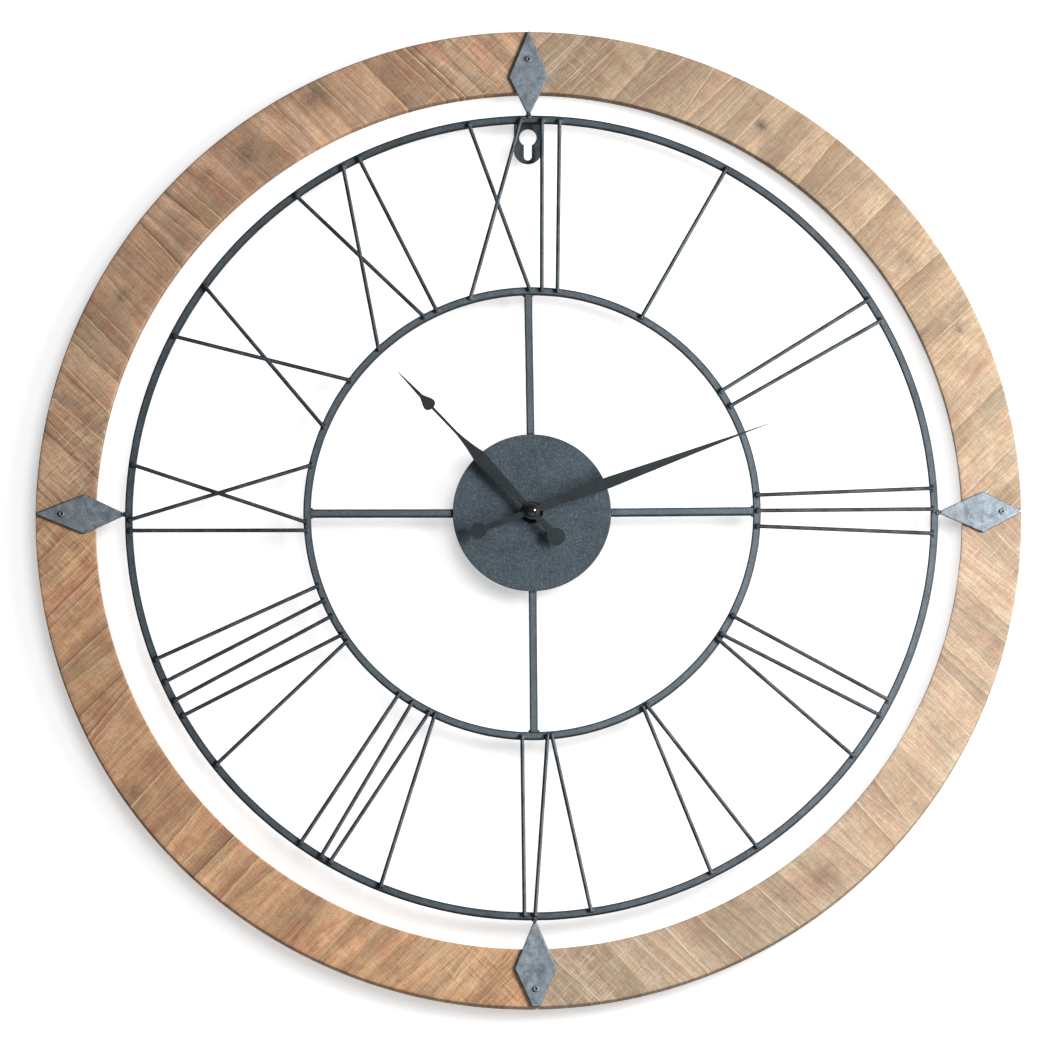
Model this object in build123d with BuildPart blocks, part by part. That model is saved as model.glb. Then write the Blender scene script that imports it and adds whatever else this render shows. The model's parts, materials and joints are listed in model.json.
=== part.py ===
from build123d import *
import math
import os

# A wall clock: a ring of four oak boards round a welded iron dial with rod numerals.
# Millimetres. X runs right and Z up as the dial is read, and the dial faces -Y.
# The origin is on the axis of the hanger's hole, in the hanger plate's back face.
# A "height" is a distance forward of that face, towards the reader.
# A dial angle runs clockwise from twelve o'clock, as the reader sees it.

# ---------------------------------------------------------------- driving dimensions

# Wood ring
WOOD_RADIUS = 400.0
WOOD_BORE_RADIUS = 351.4
WOOD_BORE_DROP = 1.4
WOOD_THICKNESS = 18.0
WOOD_FRONT = 6.0
WOOD_EDGE_ROUND = 0.8
WOOD_CENTRE = (0.6, -313.3)
JOINT_ANGLES = (0.0, 89.3, 179.1, 270.5)
BOARD_NAMES = ("upper_right", "lower_right", "lower_left", "upper_left")
DOWEL_RADIUS = 4.0
DOWEL_LENGTH = 40.0
DOWEL_HOLE_PLAY = 0.05
DOWEL_REACHES = (360.0, 391.0)

# Iron dial: two flat-bar rings, four spokes and the hub disc
OUTER_RING_CENTRE = (3.0, -312.5)
HUB = (3.4, -309.5)
OUTER_RING_RADIUS = 330.0
INNER_RING_RADIUS = 185.7
RING_FACE = 6.4
RING_BACK = 2.0
RING_DEPTH = 6.0
SPOKE_ANGLES = (359.0, 89.5, 179.5, 270.0)
SPOKE_WIDTH = 6.6
SPOKE_INNER_REACH = 44.0
DISC_RADIUS = 64.3
DISC_THICKNESS = 1.5
DISC_EDGE_BEVEL = 0.4

# Numeral rods: each pair is a rod's dial angle at the inner ring and at the outer ring
ROD_RADIUS = 1.6
ROD_SEAT = 0.4
STRAIGHT_RODS = {
    1: [(29, 29)],
    2: [(57, 57), (61.5, 60.5)],
    3: [(85.5, 86), (89.5, 89), (93.5, 92.5)],
    4: [(117.5, 117.5), (123, 120), (124.5, 127)],
    5: [(149.5, 146), (150.5, 153.5)],
    6: [(175, 171.5), (176, 179.5), (182.5, 181)],
    7: [(205.5, 202), (207, 210), (212, 211.5), (216, 215)],
    8: [(235, 231.5), (237, 240), (242.5, 242.5), (247, 245.5), (251, 249)],
    9: [(265.5, 268)],
    10: [],
    11: [(335, 334.5)],
    12: [(2.5, 1.5), (6.5, 4)],
}
CROSSED_RODS = {
    9: [(282.5, 269.5), (267.5, 277.5)],
    10: [(292.5, 305.5), (306.5, 297)],
    11: [(317, 332), (331.5, 324)],
    12: [(344, 358.5), (359.5, 351)],
}

# Diamond plates over the wood joints, one per joint angle: full width, width of the outer tip,
# reach of the widest place
DIAMOND_THICKNESS = 2.0
DIAMOND_WELD_BITE = 1.5
DIAMOND_SIZES = {
    "top": (32.0, 1.0, 362.5),
    "right": (33.5, 1.5, 368.5),
    "bottom": (34.0, 6.5, 368.5),
    "left": (32.5, 1.0, 360.5),
}
NAIL_REACHES = (377.0, 384.5, 385.5, 379.0)
NAIL_RADIUS = 1.2
NAIL_HOLE_PLAY = 0.05
NAIL_LENGTH = 15.0
NAIL_HEAD_RADIUS = 2.6
NAIL_HEAD_HEIGHT = 1.3
NAIL_HEAD_SHOULDER = (0.85, 0.6)
NAIL_HEAD_FLAT = 0.4

# Hanger plate with its keyhole, slot downwards
HANGER_WIDTH = 22.8
HANGER_TOP = 13.9
HANGER_BOTTOM = -21.7
KEYHOLE_RADIUS = 7.0
KEYHOLE_SLOT_WIDTH = 6.4
KEYHOLE_SLOT_END = -18.8

# Quartz movement, measured from the shaft; it hangs behind the disc on a threaded bush
CASE_SIDE = 56.0
CASE_CORNER = 3.0
CASE_FRONT = 7.2
CASE_DEPTH = 16.0
CASE_WALL = 1.2
BAY_WALL_TOP = -11.1
BAY_WALL = 1.0
POST_RADIUS = 1.4
POST_SPOTS = [(-24.5, -8.6), (24.5, -8.6), (24.5, 24.5), (-24.5, 24.5)]
GEAR_PLATE_FRONT = -4.6
GEAR_PLATE_THICKNESS = 1.0
GEAR_PLATE_EDGE_GAP = 0.2
BATTERY_RADIUS = 7.1
BATTERY_LENGTH = 50.5
BATTERY_RISE = -19.5
BATTERY_EDGE_ROUND = 0.6
TERMINAL_RADIUS = 2.7
TERMINAL_LENGTH = 1.2
CONTACT_THICKNESS = 0.4
CONTACT_WIDTH = 9.0
BUSH_RADIUS = 4.0
BUSH_FRONT = 13.5
CLAMP_WASHER_RADIUS = 9.0
CLAMP_WASHER_THICKNESS = 0.5
NUT_ACROSS_FLATS = 12.0
NUT_HEIGHT = 2.2
RUBBER_WASHER_RADIUS = 10.0
HOUR_TUBE_RADIUS = 2.55
HOUR_TUBE_FRONT = 17.0
MINUTE_SHAFT_RADIUS = 1.65
MINUTE_THREAD_RADIUS = 1.4
PIVOT_RADIUS = 0.35
PIVOT_DEPTH = 0.7
PIVOT_END_GAP = 0.2
SHAFT_SHOULDER_GAP = 0.3
RUNNING_PLAY = 0.06
HOLE_PLAY = 0.05

# Wheels: tooth counts, modules and the dial angle at which each next arbor stands
CANNON_TEETH, MOTION_TEETH, MOTION_MODULE = 12, 36, 0.4
MOTION_PINION_TEETH, HOUR_TEETH, HOUR_MODULE = 10, 40, 0.384
CENTRE_TEETH, THIRD_PINION_TEETH, CENTRE_MODULE = 60, 8, 0.27
THIRD_TEETH, FOURTH_PINION_TEETH, THIRD_MODULE = 64, 8, 0.2
FOURTH_TEETH, FIFTH_PINION_TEETH, FOURTH_MODULE = 60, 8, 0.18
FIFTH_TEETH, ROTOR_PINION_TEETH, FIFTH_MODULE = 48, 12, 0.16
MOTION_BEARING = 315.0
THIRD_BEARING = 70.0
FOURTH_BEARING = 30.0
FIFTH_BEARING = 350.0
ROTOR_BEARING = 270.0
TOOTH_ADDENDUM = 0.8
TOOTH_DEDENDUM = 1.1
TOOTH_TIP_SHARE = 0.10
TOOTH_ROOT_SHARE = 0.26
WHEEL_THICKNESS = 0.8
PINION_THICKNESS = 1.6
MOTION_PINION_THICKNESS = 1.2
THIN_PINION_THICKNESS = 1.0
HOUR_WHEEL_BACK = 4.8
MOTION_WHEEL_BACK = 3.4
CENTRE_WHEEL_BACK = 1.6
THIRD_WHEEL_BACK = -0.4
FOURTH_WHEEL_BACK = -2.4
FIFTH_WHEEL_BACK = -4.1
MOTION_ARBOR_RADIUS = 0.8
MAGNET_RADIUS = 2.6
MAGNET_OVERHANG = 0.3
KNOB_RADIUS = 6.0
KNOB_HEIGHT = 2.0
KNOB_GAP = 0.2
KNOB_FLUTES = 24
KNOB_FLUTE_RADIUS = 0.45

# Stepping motor and electronics, in (right, up) places from the shaft
STATOR_BACK = -1.1
PLATE_THICKNESS = 1.0
STATOR_LEFT = -22.0
STATOR_RIGHT = 10.0
STATOR_BAR_WIDTH = 6.4
STATOR_LEG_TOP = 24.6
STATOR_LEG_WIDTHS = (4.4, 7.0)
ROTOR_HOLE_RADIUS = 3.0
CORE_RISE = 22.6
CORE_WIDTH = 4.0
COIL_RADIUS = 3.6
COIL_SPAN = (-16.5, 1.5)
STAKE_SPOTS = [(-19.8, CORE_RISE), (6.0, CORE_RISE)]
STAKE_RADIUS = 0.7
BOARD_CORNERS = ((-22.6, -10.4), (-9.2, 10.0))
BOARD_THICKNESS = 0.8
CHIP_RADIUS = 2.6
CHIP_HEIGHT = 1.0
CHIP_TAPER = 20
CRYSTAL_RADIUS = 1.0
CRYSTAL_LENGTH = 6.0

# Hands: outline points are (half width, distance from the shaft)
HAND_THICKNESS = 0.8
HAND_BOSS_RADIUS = 6.8
HAND_ROOT = 5.0
HOUR_HAND_ANGLE = 316.5
HOUR_HAND_BACK = 16.0
HOUR_BLADE_ROOT = (2.2, HAND_ROOT)
HOUR_BLADE_SHOULDER = (5.4, 62.0)
HOUR_BLADE_FLANK = (2.6, 76.0)
HOUR_STEM_START = (1.1, 89.0)
HOUR_STEM_END = (1.1, 117.0)
HOUR_SPADE_LOBE = (5.2, 120.5)
HOUR_SPADE_FLANK = (3.6, 126.0)
HOUR_SPADE_NECK = (1.5, 133.0)
HOUR_TIP = (0.2, 158.5)
HOUR_TAIL_REACH = 28.6
HOUR_TAIL_RADIUS = 7.3
HOUR_TAIL_HALF_WIDTH = 2.6
MINUTE_HAND_ANGLE = 69.6
MINUTE_HAND_BACK = 19.0
MINUTE_BLADE_ROOT = (2.5, HAND_ROOT)
MINUTE_BLADE_SHOULDER = (4.7, 66.0)
MINUTE_NEEDLE = (0.8, 178.0)
MINUTE_TIP = (0.2, 204.5)
MINUTE_TAIL_REACH = 46.5
MINUTE_TAIL_RADIUS = 6.6
MINUTE_TAIL_HALF_WIDTH = 2.3
COLLET_RADIUS = 3.8
COLLET_LENGTH = 1.4
CAP_RADIUS = 5.0
CAP_RIM_HEIGHT = 1.2
CAP_HEIGHT = 4.6
CAP_BORE_HEIGHT = 3.0
CAP_THREAD_GAP = 0.2

# ---------------------------------------------------------------- worked-out dimensions

RING_FRONT = RING_BACK + RING_DEPTH
DISC_FRONT = RING_FRONT + DISC_THICKNESS
DIAMOND_FRONT = WOOD_FRONT + DIAMOND_THICKNESS
NAIL_POINT = WOOD_FRONT - NAIL_LENGTH
WOOD_BACK = WOOD_FRONT - WOOD_THICKNESS
WOOD_MIDDLE = (WOOD_FRONT + WOOD_BACK) / 2
OUTER_RING_MIDDLE = OUTER_RING_RADIUS - RING_FACE / 2
INNER_RING_MIDDLE = INNER_RING_RADIUS - RING_FACE / 2
ROD_HEIGHT = RING_FRONT + ROD_RADIUS - ROD_SEAT
CASE_INNER_FRONT = CASE_FRONT - CASE_WALL
CASE_BACK = CASE_FRONT - CASE_DEPTH
COVER_FRONT = CASE_BACK + CASE_WALL
CASE_INNER_HALF = CASE_SIDE / 2 - CASE_WALL
GEAR_PLATE_BACK = GEAR_PLATE_FRONT - GEAR_PLATE_THICKNESS
BEARING_FRONT = CASE_INNER_FRONT + PIVOT_DEPTH
BEARING_BACK = GEAR_PLATE_BACK + PIVOT_END_GAP
BATTERY_HEIGHT = CASE_INNER_FRONT - BATTERY_RADIUS
CLAMP_WASHER_FRONT = DISC_FRONT + CLAMP_WASHER_THICKNESS
HOUR_TUBE_BORE = MINUTE_SHAFT_RADIUS + RUNNING_PLAY
BUSH_BORE = HOUR_TUBE_RADIUS + RUNNING_PLAY
CAP_BACK = MINUTE_HAND_BACK + HAND_THICKNESS
THREAD_END = CAP_BACK + CAP_BORE_HEIGHT - CAP_THREAD_GAP
CORE_BACK = STATOR_BACK + PLATE_THICKNESS

os.makedirs("parts", exist_ok=True)


# ---------------------------------------------------------------- helpers

def dial_point(centre, angle, reach):
    """The (x, z) point at a dial angle and a distance from a centre."""
    turn = math.radians(angle)
    return centre[0] + reach * math.sin(turn), centre[1] + reach * math.cos(turn)


def face_plane(height, centre=HUB, angle=0.0):
    """A plane facing the reader at a height, whose +Y points from centre at a dial angle."""
    turn = math.radians(angle)
    return Plane(
        origin=(centre[0], -height, centre[1]),
        x_dir=(math.cos(turn), 0, -math.sin(turn)),
        z_dir=(0, -1, 0),
    )


def turned(outline, centre=HUB):
    """A solid turned about the front-to-back line through centre, from (radius, height) points."""
    section = Plane(origin=(centre[0], 0, centre[1]), x_dir=(1, 0, 0), z_dir=(0, 0, -1))
    with BuildPart() as body:
        with BuildSketch(section):
            with BuildLine():
                Polyline(*outline, close=True)
            make_face()
        revolve(axis=Axis((centre[0], 0, centre[1]), (0, 1, 0)))
    return body.part


def collar(radius, back, front, bore=0.0, centre=HUB):
    """A plain round disc or ring between two heights."""
    return turned([(bore, back), (radius, back), (radius, front), (bore, front)], centre)


def gear_outline(teeth, module, phase):
    """Corner points of a gear with straight-sided teeth, one of them centred on a dial angle."""
    pitch_radius = teeth * module / 2
    tip = pitch_radius + TOOTH_ADDENDUM * module
    root = pitch_radius - TOOTH_DEDENDUM * module
    corners = (
        (-TOOTH_ROOT_SHARE, root),
        (-TOOTH_TIP_SHARE, tip),
        (TOOTH_TIP_SHARE, tip),
        (TOOTH_ROOT_SHARE, root),
    )
    pitch = 360 / teeth
    return [
        dial_point((0, 0), phase + (tooth + share) * pitch, radius)
        for tooth in range(teeth)
        for share, radius in corners
    ]


def gear(teeth, module, phase, back, thickness, centre=HUB, bore=0.0):
    """A gear between two heights."""
    with BuildPart() as wheel:
        with BuildSketch(face_plane(back, centre)):
            with BuildLine():
                Polyline(*gear_outline(teeth, module, phase), close=True)
            make_face()
            if bore:
                Circle(bore, mode=Mode.SUBTRACT)
        extrude(amount=thickness)
    return wheel.part


def meshing_phase(bearing, teeth, phase, next_teeth):
    """The phase of the next gear, standing at a bearing, so that its gap meets a tooth."""
    share = (phase - bearing) * teeth / 360
    return bearing + 180 - (share + 0.5) * 360 / next_teeth


def next_arbor(centre, bearing, teeth, next_teeth, module):
    """The place of the arbor whose gear meshes with one on centre."""
    return dial_point(centre, bearing, (teeth + next_teeth) * module / 2)


def round_bar(start, end, radius):
    """A straight round bar between two points in space."""
    along = Vector(*end) - Vector(*start)
    with BuildPart() as bar:
        with BuildSketch(Plane(origin=start, z_dir=along)):
            Circle(radius)
        extrude(amount=along.length)
    return bar.part


# ---------------------------------------------------------------- wood ring

def dowel_bars(radius):
    """The dowels across the four joints, along the ring, two to a joint."""
    bars = []
    for angle in JOINT_ANGLES:
        for reach in DOWEL_REACHES:
            x, z = dial_point(WOOD_CENTRE, angle, reach)
            half_x, half_z = dial_point((0, 0), angle + 90, DOWEL_LENGTH / 2)
            start = (x - half_x, -WOOD_MIDDLE, z - half_z)
            end = (x + half_x, -WOOD_MIDDLE, z + half_z)
            bars.append(round_bar(start, end, radius))
    return bars


def nail_shanks(radius):
    """The round shanks of the four nails, one through each diamond plate."""
    shanks = []
    for angle, reach in zip(JOINT_ANGLES, NAIL_REACHES):
        centre = dial_point(WOOD_CENTRE, angle, reach)
        shanks.append(collar(radius, NAIL_POINT, DIAMOND_FRONT, centre=centre))
    return shanks


dowel_holes = dowel_bars(DOWEL_RADIUS + DOWEL_HOLE_PLAY)
nail_holes = nail_shanks(NAIL_RADIUS + NAIL_HOLE_PLAY)

for index, board_name in enumerate(BOARD_NAMES):
    first_joint = JOINT_ANGLES[index]
    last_joint = JOINT_ANGLES[(index + 1) % len(JOINT_ANGLES)]
    if last_joint < first_joint:
        last_joint += 360
    far = 2 * WOOD_RADIUS
    with BuildPart() as board:
        with BuildSketch(face_plane(WOOD_BACK, WOOD_CENTRE)):
            Circle(WOOD_RADIUS)
            with Locations((0, -WOOD_BORE_DROP)):
                Circle(WOOD_BORE_RADIUS, mode=Mode.SUBTRACT)
            with BuildLine():
                Polyline(
                    (0, 0),
                    dial_point((0, 0), first_joint, far),
                    dial_point((0, 0), (first_joint + last_joint) / 2, far),
                    dial_point((0, 0), last_joint, far),
                    close=True,
                )
            make_face(mode=Mode.INTERSECT)
        extrude(amount=WOOD_THICKNESS)
        front_face = board.faces().sort_by(Axis.Y)[0]
        fillet(front_face.edges().filter_by(GeomType.CIRCLE), WOOD_EDGE_ROUND)
        add(dowel_holes, mode=Mode.SUBTRACT)
        add(nail_holes, mode=Mode.SUBTRACT)
    board.part.label = f"wood_board_{board_name}"
    export_step(board.part, f"parts/wood_board_{board_name}.step")

joint_dowels = Compound(label="joint_dowels", children=dowel_bars(DOWEL_RADIUS))
export_step(joint_dowels, "parts/joint_dowels.step")


# ---------------------------------------------------------------- welded iron dial

with BuildPart() as outer_ring:
    with BuildSketch(face_plane(RING_BACK, OUTER_RING_CENTRE)):
        Circle(OUTER_RING_RADIUS)
        Circle(OUTER_RING_RADIUS - RING_FACE, mode=Mode.SUBTRACT)
    extrude(amount=RING_DEPTH)
outer_ring.part.label = "outer_ring"
export_step(outer_ring.part, "parts/outer_ring.step")

with BuildPart() as inner_ring:
    with BuildSketch(face_plane(RING_BACK)):
        Circle(INNER_RING_RADIUS)
        Circle(INNER_RING_RADIUS - RING_FACE, mode=Mode.SUBTRACT)
    extrude(amount=RING_DEPTH)
inner_ring.part.label = "inner_ring"
export_step(inner_ring.part, "parts/inner_ring.step")

spoke_length = INNER_RING_MIDDLE - SPOKE_INNER_REACH
for spoke_name, spoke_angle in zip(("top", "right", "bottom", "left"), SPOKE_ANGLES):
    with BuildPart() as spoke:
        with BuildSketch(face_plane(RING_BACK, angle=spoke_angle)):
            with Locations((0, SPOKE_INNER_REACH)):
                Rectangle(SPOKE_WIDTH, spoke_length, align=(Align.CENTER, Align.MIN))
        extrude(amount=RING_DEPTH)
        add(inner_ring.part, mode=Mode.SUBTRACT)
    spoke.part.label = f"spoke_{spoke_name}"
    export_step(spoke.part, f"parts/spoke_{spoke_name}.step")

with BuildPart() as hub_disc:
    with BuildSketch(face_plane(RING_FRONT)):
        Circle(DISC_RADIUS)
        Circle(BUSH_RADIUS + HOLE_PLAY, mode=Mode.SUBTRACT)
    extrude(amount=DISC_THICKNESS)
    rim = hub_disc.faces().sort_by(Axis.Y)[0].outer_wire().edges()
    chamfer(rim, DISC_EDGE_BEVEL)
hub_disc.part.label = "hub_disc"
export_step(hub_disc.part, "parts/hub_disc.step")

with BuildPart() as hanger_plate:
    half = HANGER_WIDTH / 2
    arc_start = HANGER_BOTTOM + half
    with BuildSketch(face_plane(0, centre=(0, 0))):
        with BuildLine():
            Polyline((-half, arc_start), (-half, HANGER_TOP), (half, HANGER_TOP), (half, arc_start))
            ThreePointArc((half, arc_start), (0, HANGER_BOTTOM), (-half, arc_start))
        make_face()
        Circle(KEYHOLE_RADIUS, mode=Mode.SUBTRACT)
        slot_round = KEYHOLE_SLOT_END + KEYHOLE_SLOT_WIDTH / 2
        Rectangle(KEYHOLE_SLOT_WIDTH, -slot_round, align=(Align.CENTER, Align.MAX), mode=Mode.SUBTRACT)
        with Locations((0, slot_round)):
            Circle(KEYHOLE_SLOT_WIDTH / 2, mode=Mode.SUBTRACT)
    extrude(amount=RING_BACK)
hanger_plate.part.label = "hanger_plate"
export_step(hanger_plate.part, "parts/hanger_plate.step")


# ---------------------------------------------------------------- numeral rods

def numeral_rod(angles, crossed=None):
    """One rod laid on the fronts of both rings, cut where it meets them and a rod it crosses."""
    inner_x, inner_z = dial_point(HUB, angles[0], INNER_RING_MIDDLE)
    outer_x, outer_z = dial_point(OUTER_RING_CENTRE, angles[1], OUTER_RING_MIDDLE)
    with BuildPart() as rod:
        add(round_bar((inner_x, -ROD_HEIGHT, inner_z), (outer_x, -ROD_HEIGHT, outer_z), ROD_RADIUS))
        add(inner_ring.part, mode=Mode.SUBTRACT)
        add(outer_ring.part, mode=Mode.SUBTRACT)
        if crossed:
            add(crossed, mode=Mode.SUBTRACT)
    return rod.part


for hour, straight in STRAIGHT_RODS.items():
    rods = [numeral_rod(angles) for angles in straight]
    if hour in CROSSED_RODS:
        through_angles, cut_angles = CROSSED_RODS[hour]
        through_rod = numeral_rod(through_angles)
        rods.append(through_rod)
        rods.append(numeral_rod(cut_angles, crossed=through_rod))
    solids = [solid for rod in rods for solid in rod.solids()]
    numeral = Compound(label=f"numeral_{hour:02d}", children=solids)
    export_step(numeral, f"parts/numeral_{hour:02d}.step")


# ---------------------------------------------------------------- diamond plates and nails

for index, (plate_name, (width, blunt, waist_reach)) in enumerate(DIAMOND_SIZES.items()):
    angle = JOINT_ANGLES[index]
    weld_x, weld_z = dial_point(OUTER_RING_CENTRE, angle, OUTER_RING_RADIUS - DIAMOND_WELD_BITE)
    weld_reach = math.hypot(weld_x - WOOD_CENTRE[0], weld_z - WOOD_CENTRE[1])
    half, half_blunt = width / 2, blunt / 2
    with BuildPart() as diamond:
        with BuildSketch(face_plane(WOOD_FRONT, WOOD_CENTRE, angle)):
            with BuildLine():
                Polyline(
                    (0, weld_reach),
                    (half, waist_reach),
                    (half_blunt, WOOD_RADIUS),
                    (-half_blunt, WOOD_RADIUS),
                    (-half, waist_reach),
                    close=True,
                )
            make_face()
        extrude(amount=DIAMOND_THICKNESS)
        add(outer_ring.part, mode=Mode.SUBTRACT)
        add(nail_holes, mode=Mode.SUBTRACT)
    diamond.part.label = f"diamond_{plate_name}"
    export_step(diamond.part, f"parts/diamond_{plate_name}.step")

nails = []
shoulder_radius = NAIL_HEAD_SHOULDER[0] * NAIL_HEAD_RADIUS
shoulder_height = DIAMOND_FRONT + NAIL_HEAD_SHOULDER[1] * NAIL_HEAD_HEIGHT
head_top = DIAMOND_FRONT + NAIL_HEAD_HEIGHT
for shank, angle, reach in zip(nail_shanks(NAIL_RADIUS), JOINT_ANGLES, NAIL_REACHES):
    centre = dial_point(WOOD_CENTRE, angle, reach)
    outline = [
        (0, DIAMOND_FRONT),
        (NAIL_HEAD_RADIUS, DIAMOND_FRONT),
        (shoulder_radius, shoulder_height),
        (NAIL_HEAD_FLAT * NAIL_HEAD_RADIUS, head_top),
        (0, head_top),
    ]
    with BuildPart() as nail:
        add(shank)
        add(turned(outline, centre))
    nails.append(nail.part)
diamond_nails = Compound(label="diamond_nails", children=nails)
export_step(diamond_nails, "parts/diamond_nails.step")


# ---------------------------------------------------------------- train of wheels: places and phases

MOTION_ARBOR = next_arbor(HUB, MOTION_BEARING, CANNON_TEETH, MOTION_TEETH, MOTION_MODULE)
THIRD_ARBOR = next_arbor(HUB, THIRD_BEARING, CENTRE_TEETH, THIRD_PINION_TEETH, CENTRE_MODULE)
FOURTH_ARBOR = next_arbor(THIRD_ARBOR, FOURTH_BEARING, THIRD_TEETH, FOURTH_PINION_TEETH, THIRD_MODULE)
FIFTH_ARBOR = next_arbor(FOURTH_ARBOR, FIFTH_BEARING, FOURTH_TEETH, FIFTH_PINION_TEETH, FOURTH_MODULE)
ROTOR_ARBOR = next_arbor(FIFTH_ARBOR, ROTOR_BEARING, FIFTH_TEETH, ROTOR_PINION_TEETH, FIFTH_MODULE)
TRAIN_ARBORS = [THIRD_ARBOR, FOURTH_ARBOR, FIFTH_ARBOR, ROTOR_ARBOR]


def arbor_holes(back, front, pivoted_arbors=()):
    """Holes between two heights for the motion arbor and for the pivots of other arbors."""
    holes = [collar(PIVOT_RADIUS + HOLE_PLAY, back, front, centre=arbor) for arbor in pivoted_arbors]
    holes.append(collar(MOTION_ARBOR_RADIUS + HOLE_PLAY, back, front, centre=MOTION_ARBOR))
    return holes


# ---------------------------------------------------------------- movement case

with BuildPart() as movement_case:
    with BuildSketch(face_plane(COVER_FRONT)):
        RectangleRounded(CASE_SIDE, CASE_SIDE, CASE_CORNER)
    extrude(amount=CASE_FRONT - COVER_FRONT)
    with BuildSketch(face_plane(COVER_FRONT)):
        Rectangle(2 * CASE_INNER_HALF, 2 * CASE_INNER_HALF)
    extrude(amount=CASE_INNER_FRONT - COVER_FRONT, mode=Mode.SUBTRACT)
    with BuildSketch(face_plane(COVER_FRONT)):
        with Locations((0, BAY_WALL_TOP)):
            Rectangle(2 * CASE_INNER_HALF, BAY_WALL, align=(Align.CENTER, Align.MAX))
    extrude(amount=CASE_INNER_FRONT - COVER_FRONT)
    with BuildSketch(face_plane(GEAR_PLATE_FRONT)):
        with Locations(*POST_SPOTS):
            Circle(POST_RADIUS)
    extrude(amount=CASE_INNER_FRONT - GEAR_PLATE_FRONT)
    add(collar(BUSH_RADIUS, CASE_INNER_FRONT, CASE_FRONT), mode=Mode.SUBTRACT)
    add(arbor_holes(CASE_INNER_FRONT, BEARING_FRONT, TRAIN_ARBORS), mode=Mode.SUBTRACT)
movement_case.part.label = "movement_case"
export_step(movement_case.part, "parts/movement_case.step")

with BuildPart() as movement_cover:
    with BuildSketch(face_plane(CASE_BACK)):
        RectangleRounded(CASE_SIDE, CASE_SIDE, CASE_CORNER)
        with Locations((0, BAY_WALL_TOP - BAY_WALL)):
            Rectangle(CASE_SIDE, CASE_SIDE, align=(Align.CENTER, Align.MAX), mode=Mode.SUBTRACT)
    extrude(amount=CASE_WALL)
    with BuildSketch(face_plane(COVER_FRONT)):
        with Locations(*POST_SPOTS):
            Circle(POST_RADIUS)
    extrude(amount=GEAR_PLATE_BACK - COVER_FRONT)
    add(arbor_holes(CASE_BACK, COVER_FRONT), mode=Mode.SUBTRACT)
movement_cover.part.label = "movement_cover"
export_step(movement_cover.part, "parts/movement_cover.step")

with BuildPart() as gear_plate:
    plate_bottom = BAY_WALL_TOP + GEAR_PLATE_EDGE_GAP
    plate_top = CASE_INNER_HALF - GEAR_PLATE_EDGE_GAP
    with BuildSketch(face_plane(GEAR_PLATE_BACK)):
        with Locations((0, plate_bottom)):
            Rectangle(2 * plate_top, plate_top - plate_bottom, align=(Align.CENTER, Align.MIN))
    extrude(amount=GEAR_PLATE_THICKNESS)
    with BuildSketch(face_plane(GEAR_PLATE_FRONT)):
        with Locations(*STAKE_SPOTS):
            Circle(2 * STAKE_RADIUS)
    extrude(amount=STATOR_BACK - GEAR_PLATE_FRONT)
    with BuildSketch(face_plane(STATOR_BACK)):
        with Locations(*STAKE_SPOTS):
            Circle(STAKE_RADIUS)
    extrude(amount=2 * PLATE_THICKNESS + STAKE_RADIUS)
    add(arbor_holes(GEAR_PLATE_BACK, GEAR_PLATE_FRONT, TRAIN_ARBORS + [HUB]), mode=Mode.SUBTRACT)
gear_plate.part.label = "gear_plate"
export_step(gear_plate.part, "parts/gear_plate.step")

threaded_bush = collar(BUSH_RADIUS, CASE_INNER_FRONT, BUSH_FRONT, bore=BUSH_BORE)
threaded_bush.label = "threaded_bush"
export_step(threaded_bush, "parts/threaded_bush.step")

rubber_washer = collar(RUBBER_WASHER_RADIUS, CASE_FRONT, RING_FRONT, bore=BUSH_RADIUS + HOLE_PLAY)
rubber_washer.label = "rubber_washer"
export_step(rubber_washer, "parts/rubber_washer.step")

clamp_washer = collar(CLAMP_WASHER_RADIUS, DISC_FRONT, CLAMP_WASHER_FRONT, bore=BUSH_RADIUS + HOLE_PLAY)
clamp_washer.label = "clamp_washer"
export_step(clamp_washer, "parts/clamp_washer.step")

with BuildPart() as hex_nut:
    with BuildSketch(face_plane(CLAMP_WASHER_FRONT)):
        RegularPolygon(NUT_ACROSS_FLATS / 2, 6, major_radius=False)
        Circle(BUSH_RADIUS + HOLE_PLAY, mode=Mode.SUBTRACT)
    extrude(amount=NUT_HEIGHT)
hex_nut.part.label = "hex_nut"
export_step(hex_nut.part, "parts/hex_nut.step")


# ---------------------------------------------------------------- battery and electronics

with BuildPart() as battery:
    body_length = BATTERY_LENGTH - TERMINAL_LENGTH
    can_plane = Plane(
        origin=(HUB[0] - BATTERY_LENGTH / 2, -BATTERY_HEIGHT, HUB[1] + BATTERY_RISE),
        z_dir=(1, 0, 0),
    )
    with BuildSketch(can_plane):
        Circle(BATTERY_RADIUS)
    extrude(amount=body_length)
    fillet(battery.edges().filter_by(GeomType.CIRCLE), BATTERY_EDGE_ROUND)
    with BuildSketch(can_plane.offset(body_length)):
        Circle(TERMINAL_RADIUS)
    extrude(amount=TERMINAL_LENGTH)
battery.part.label = "battery"
export_step(battery.part, "parts/battery.step")

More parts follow.
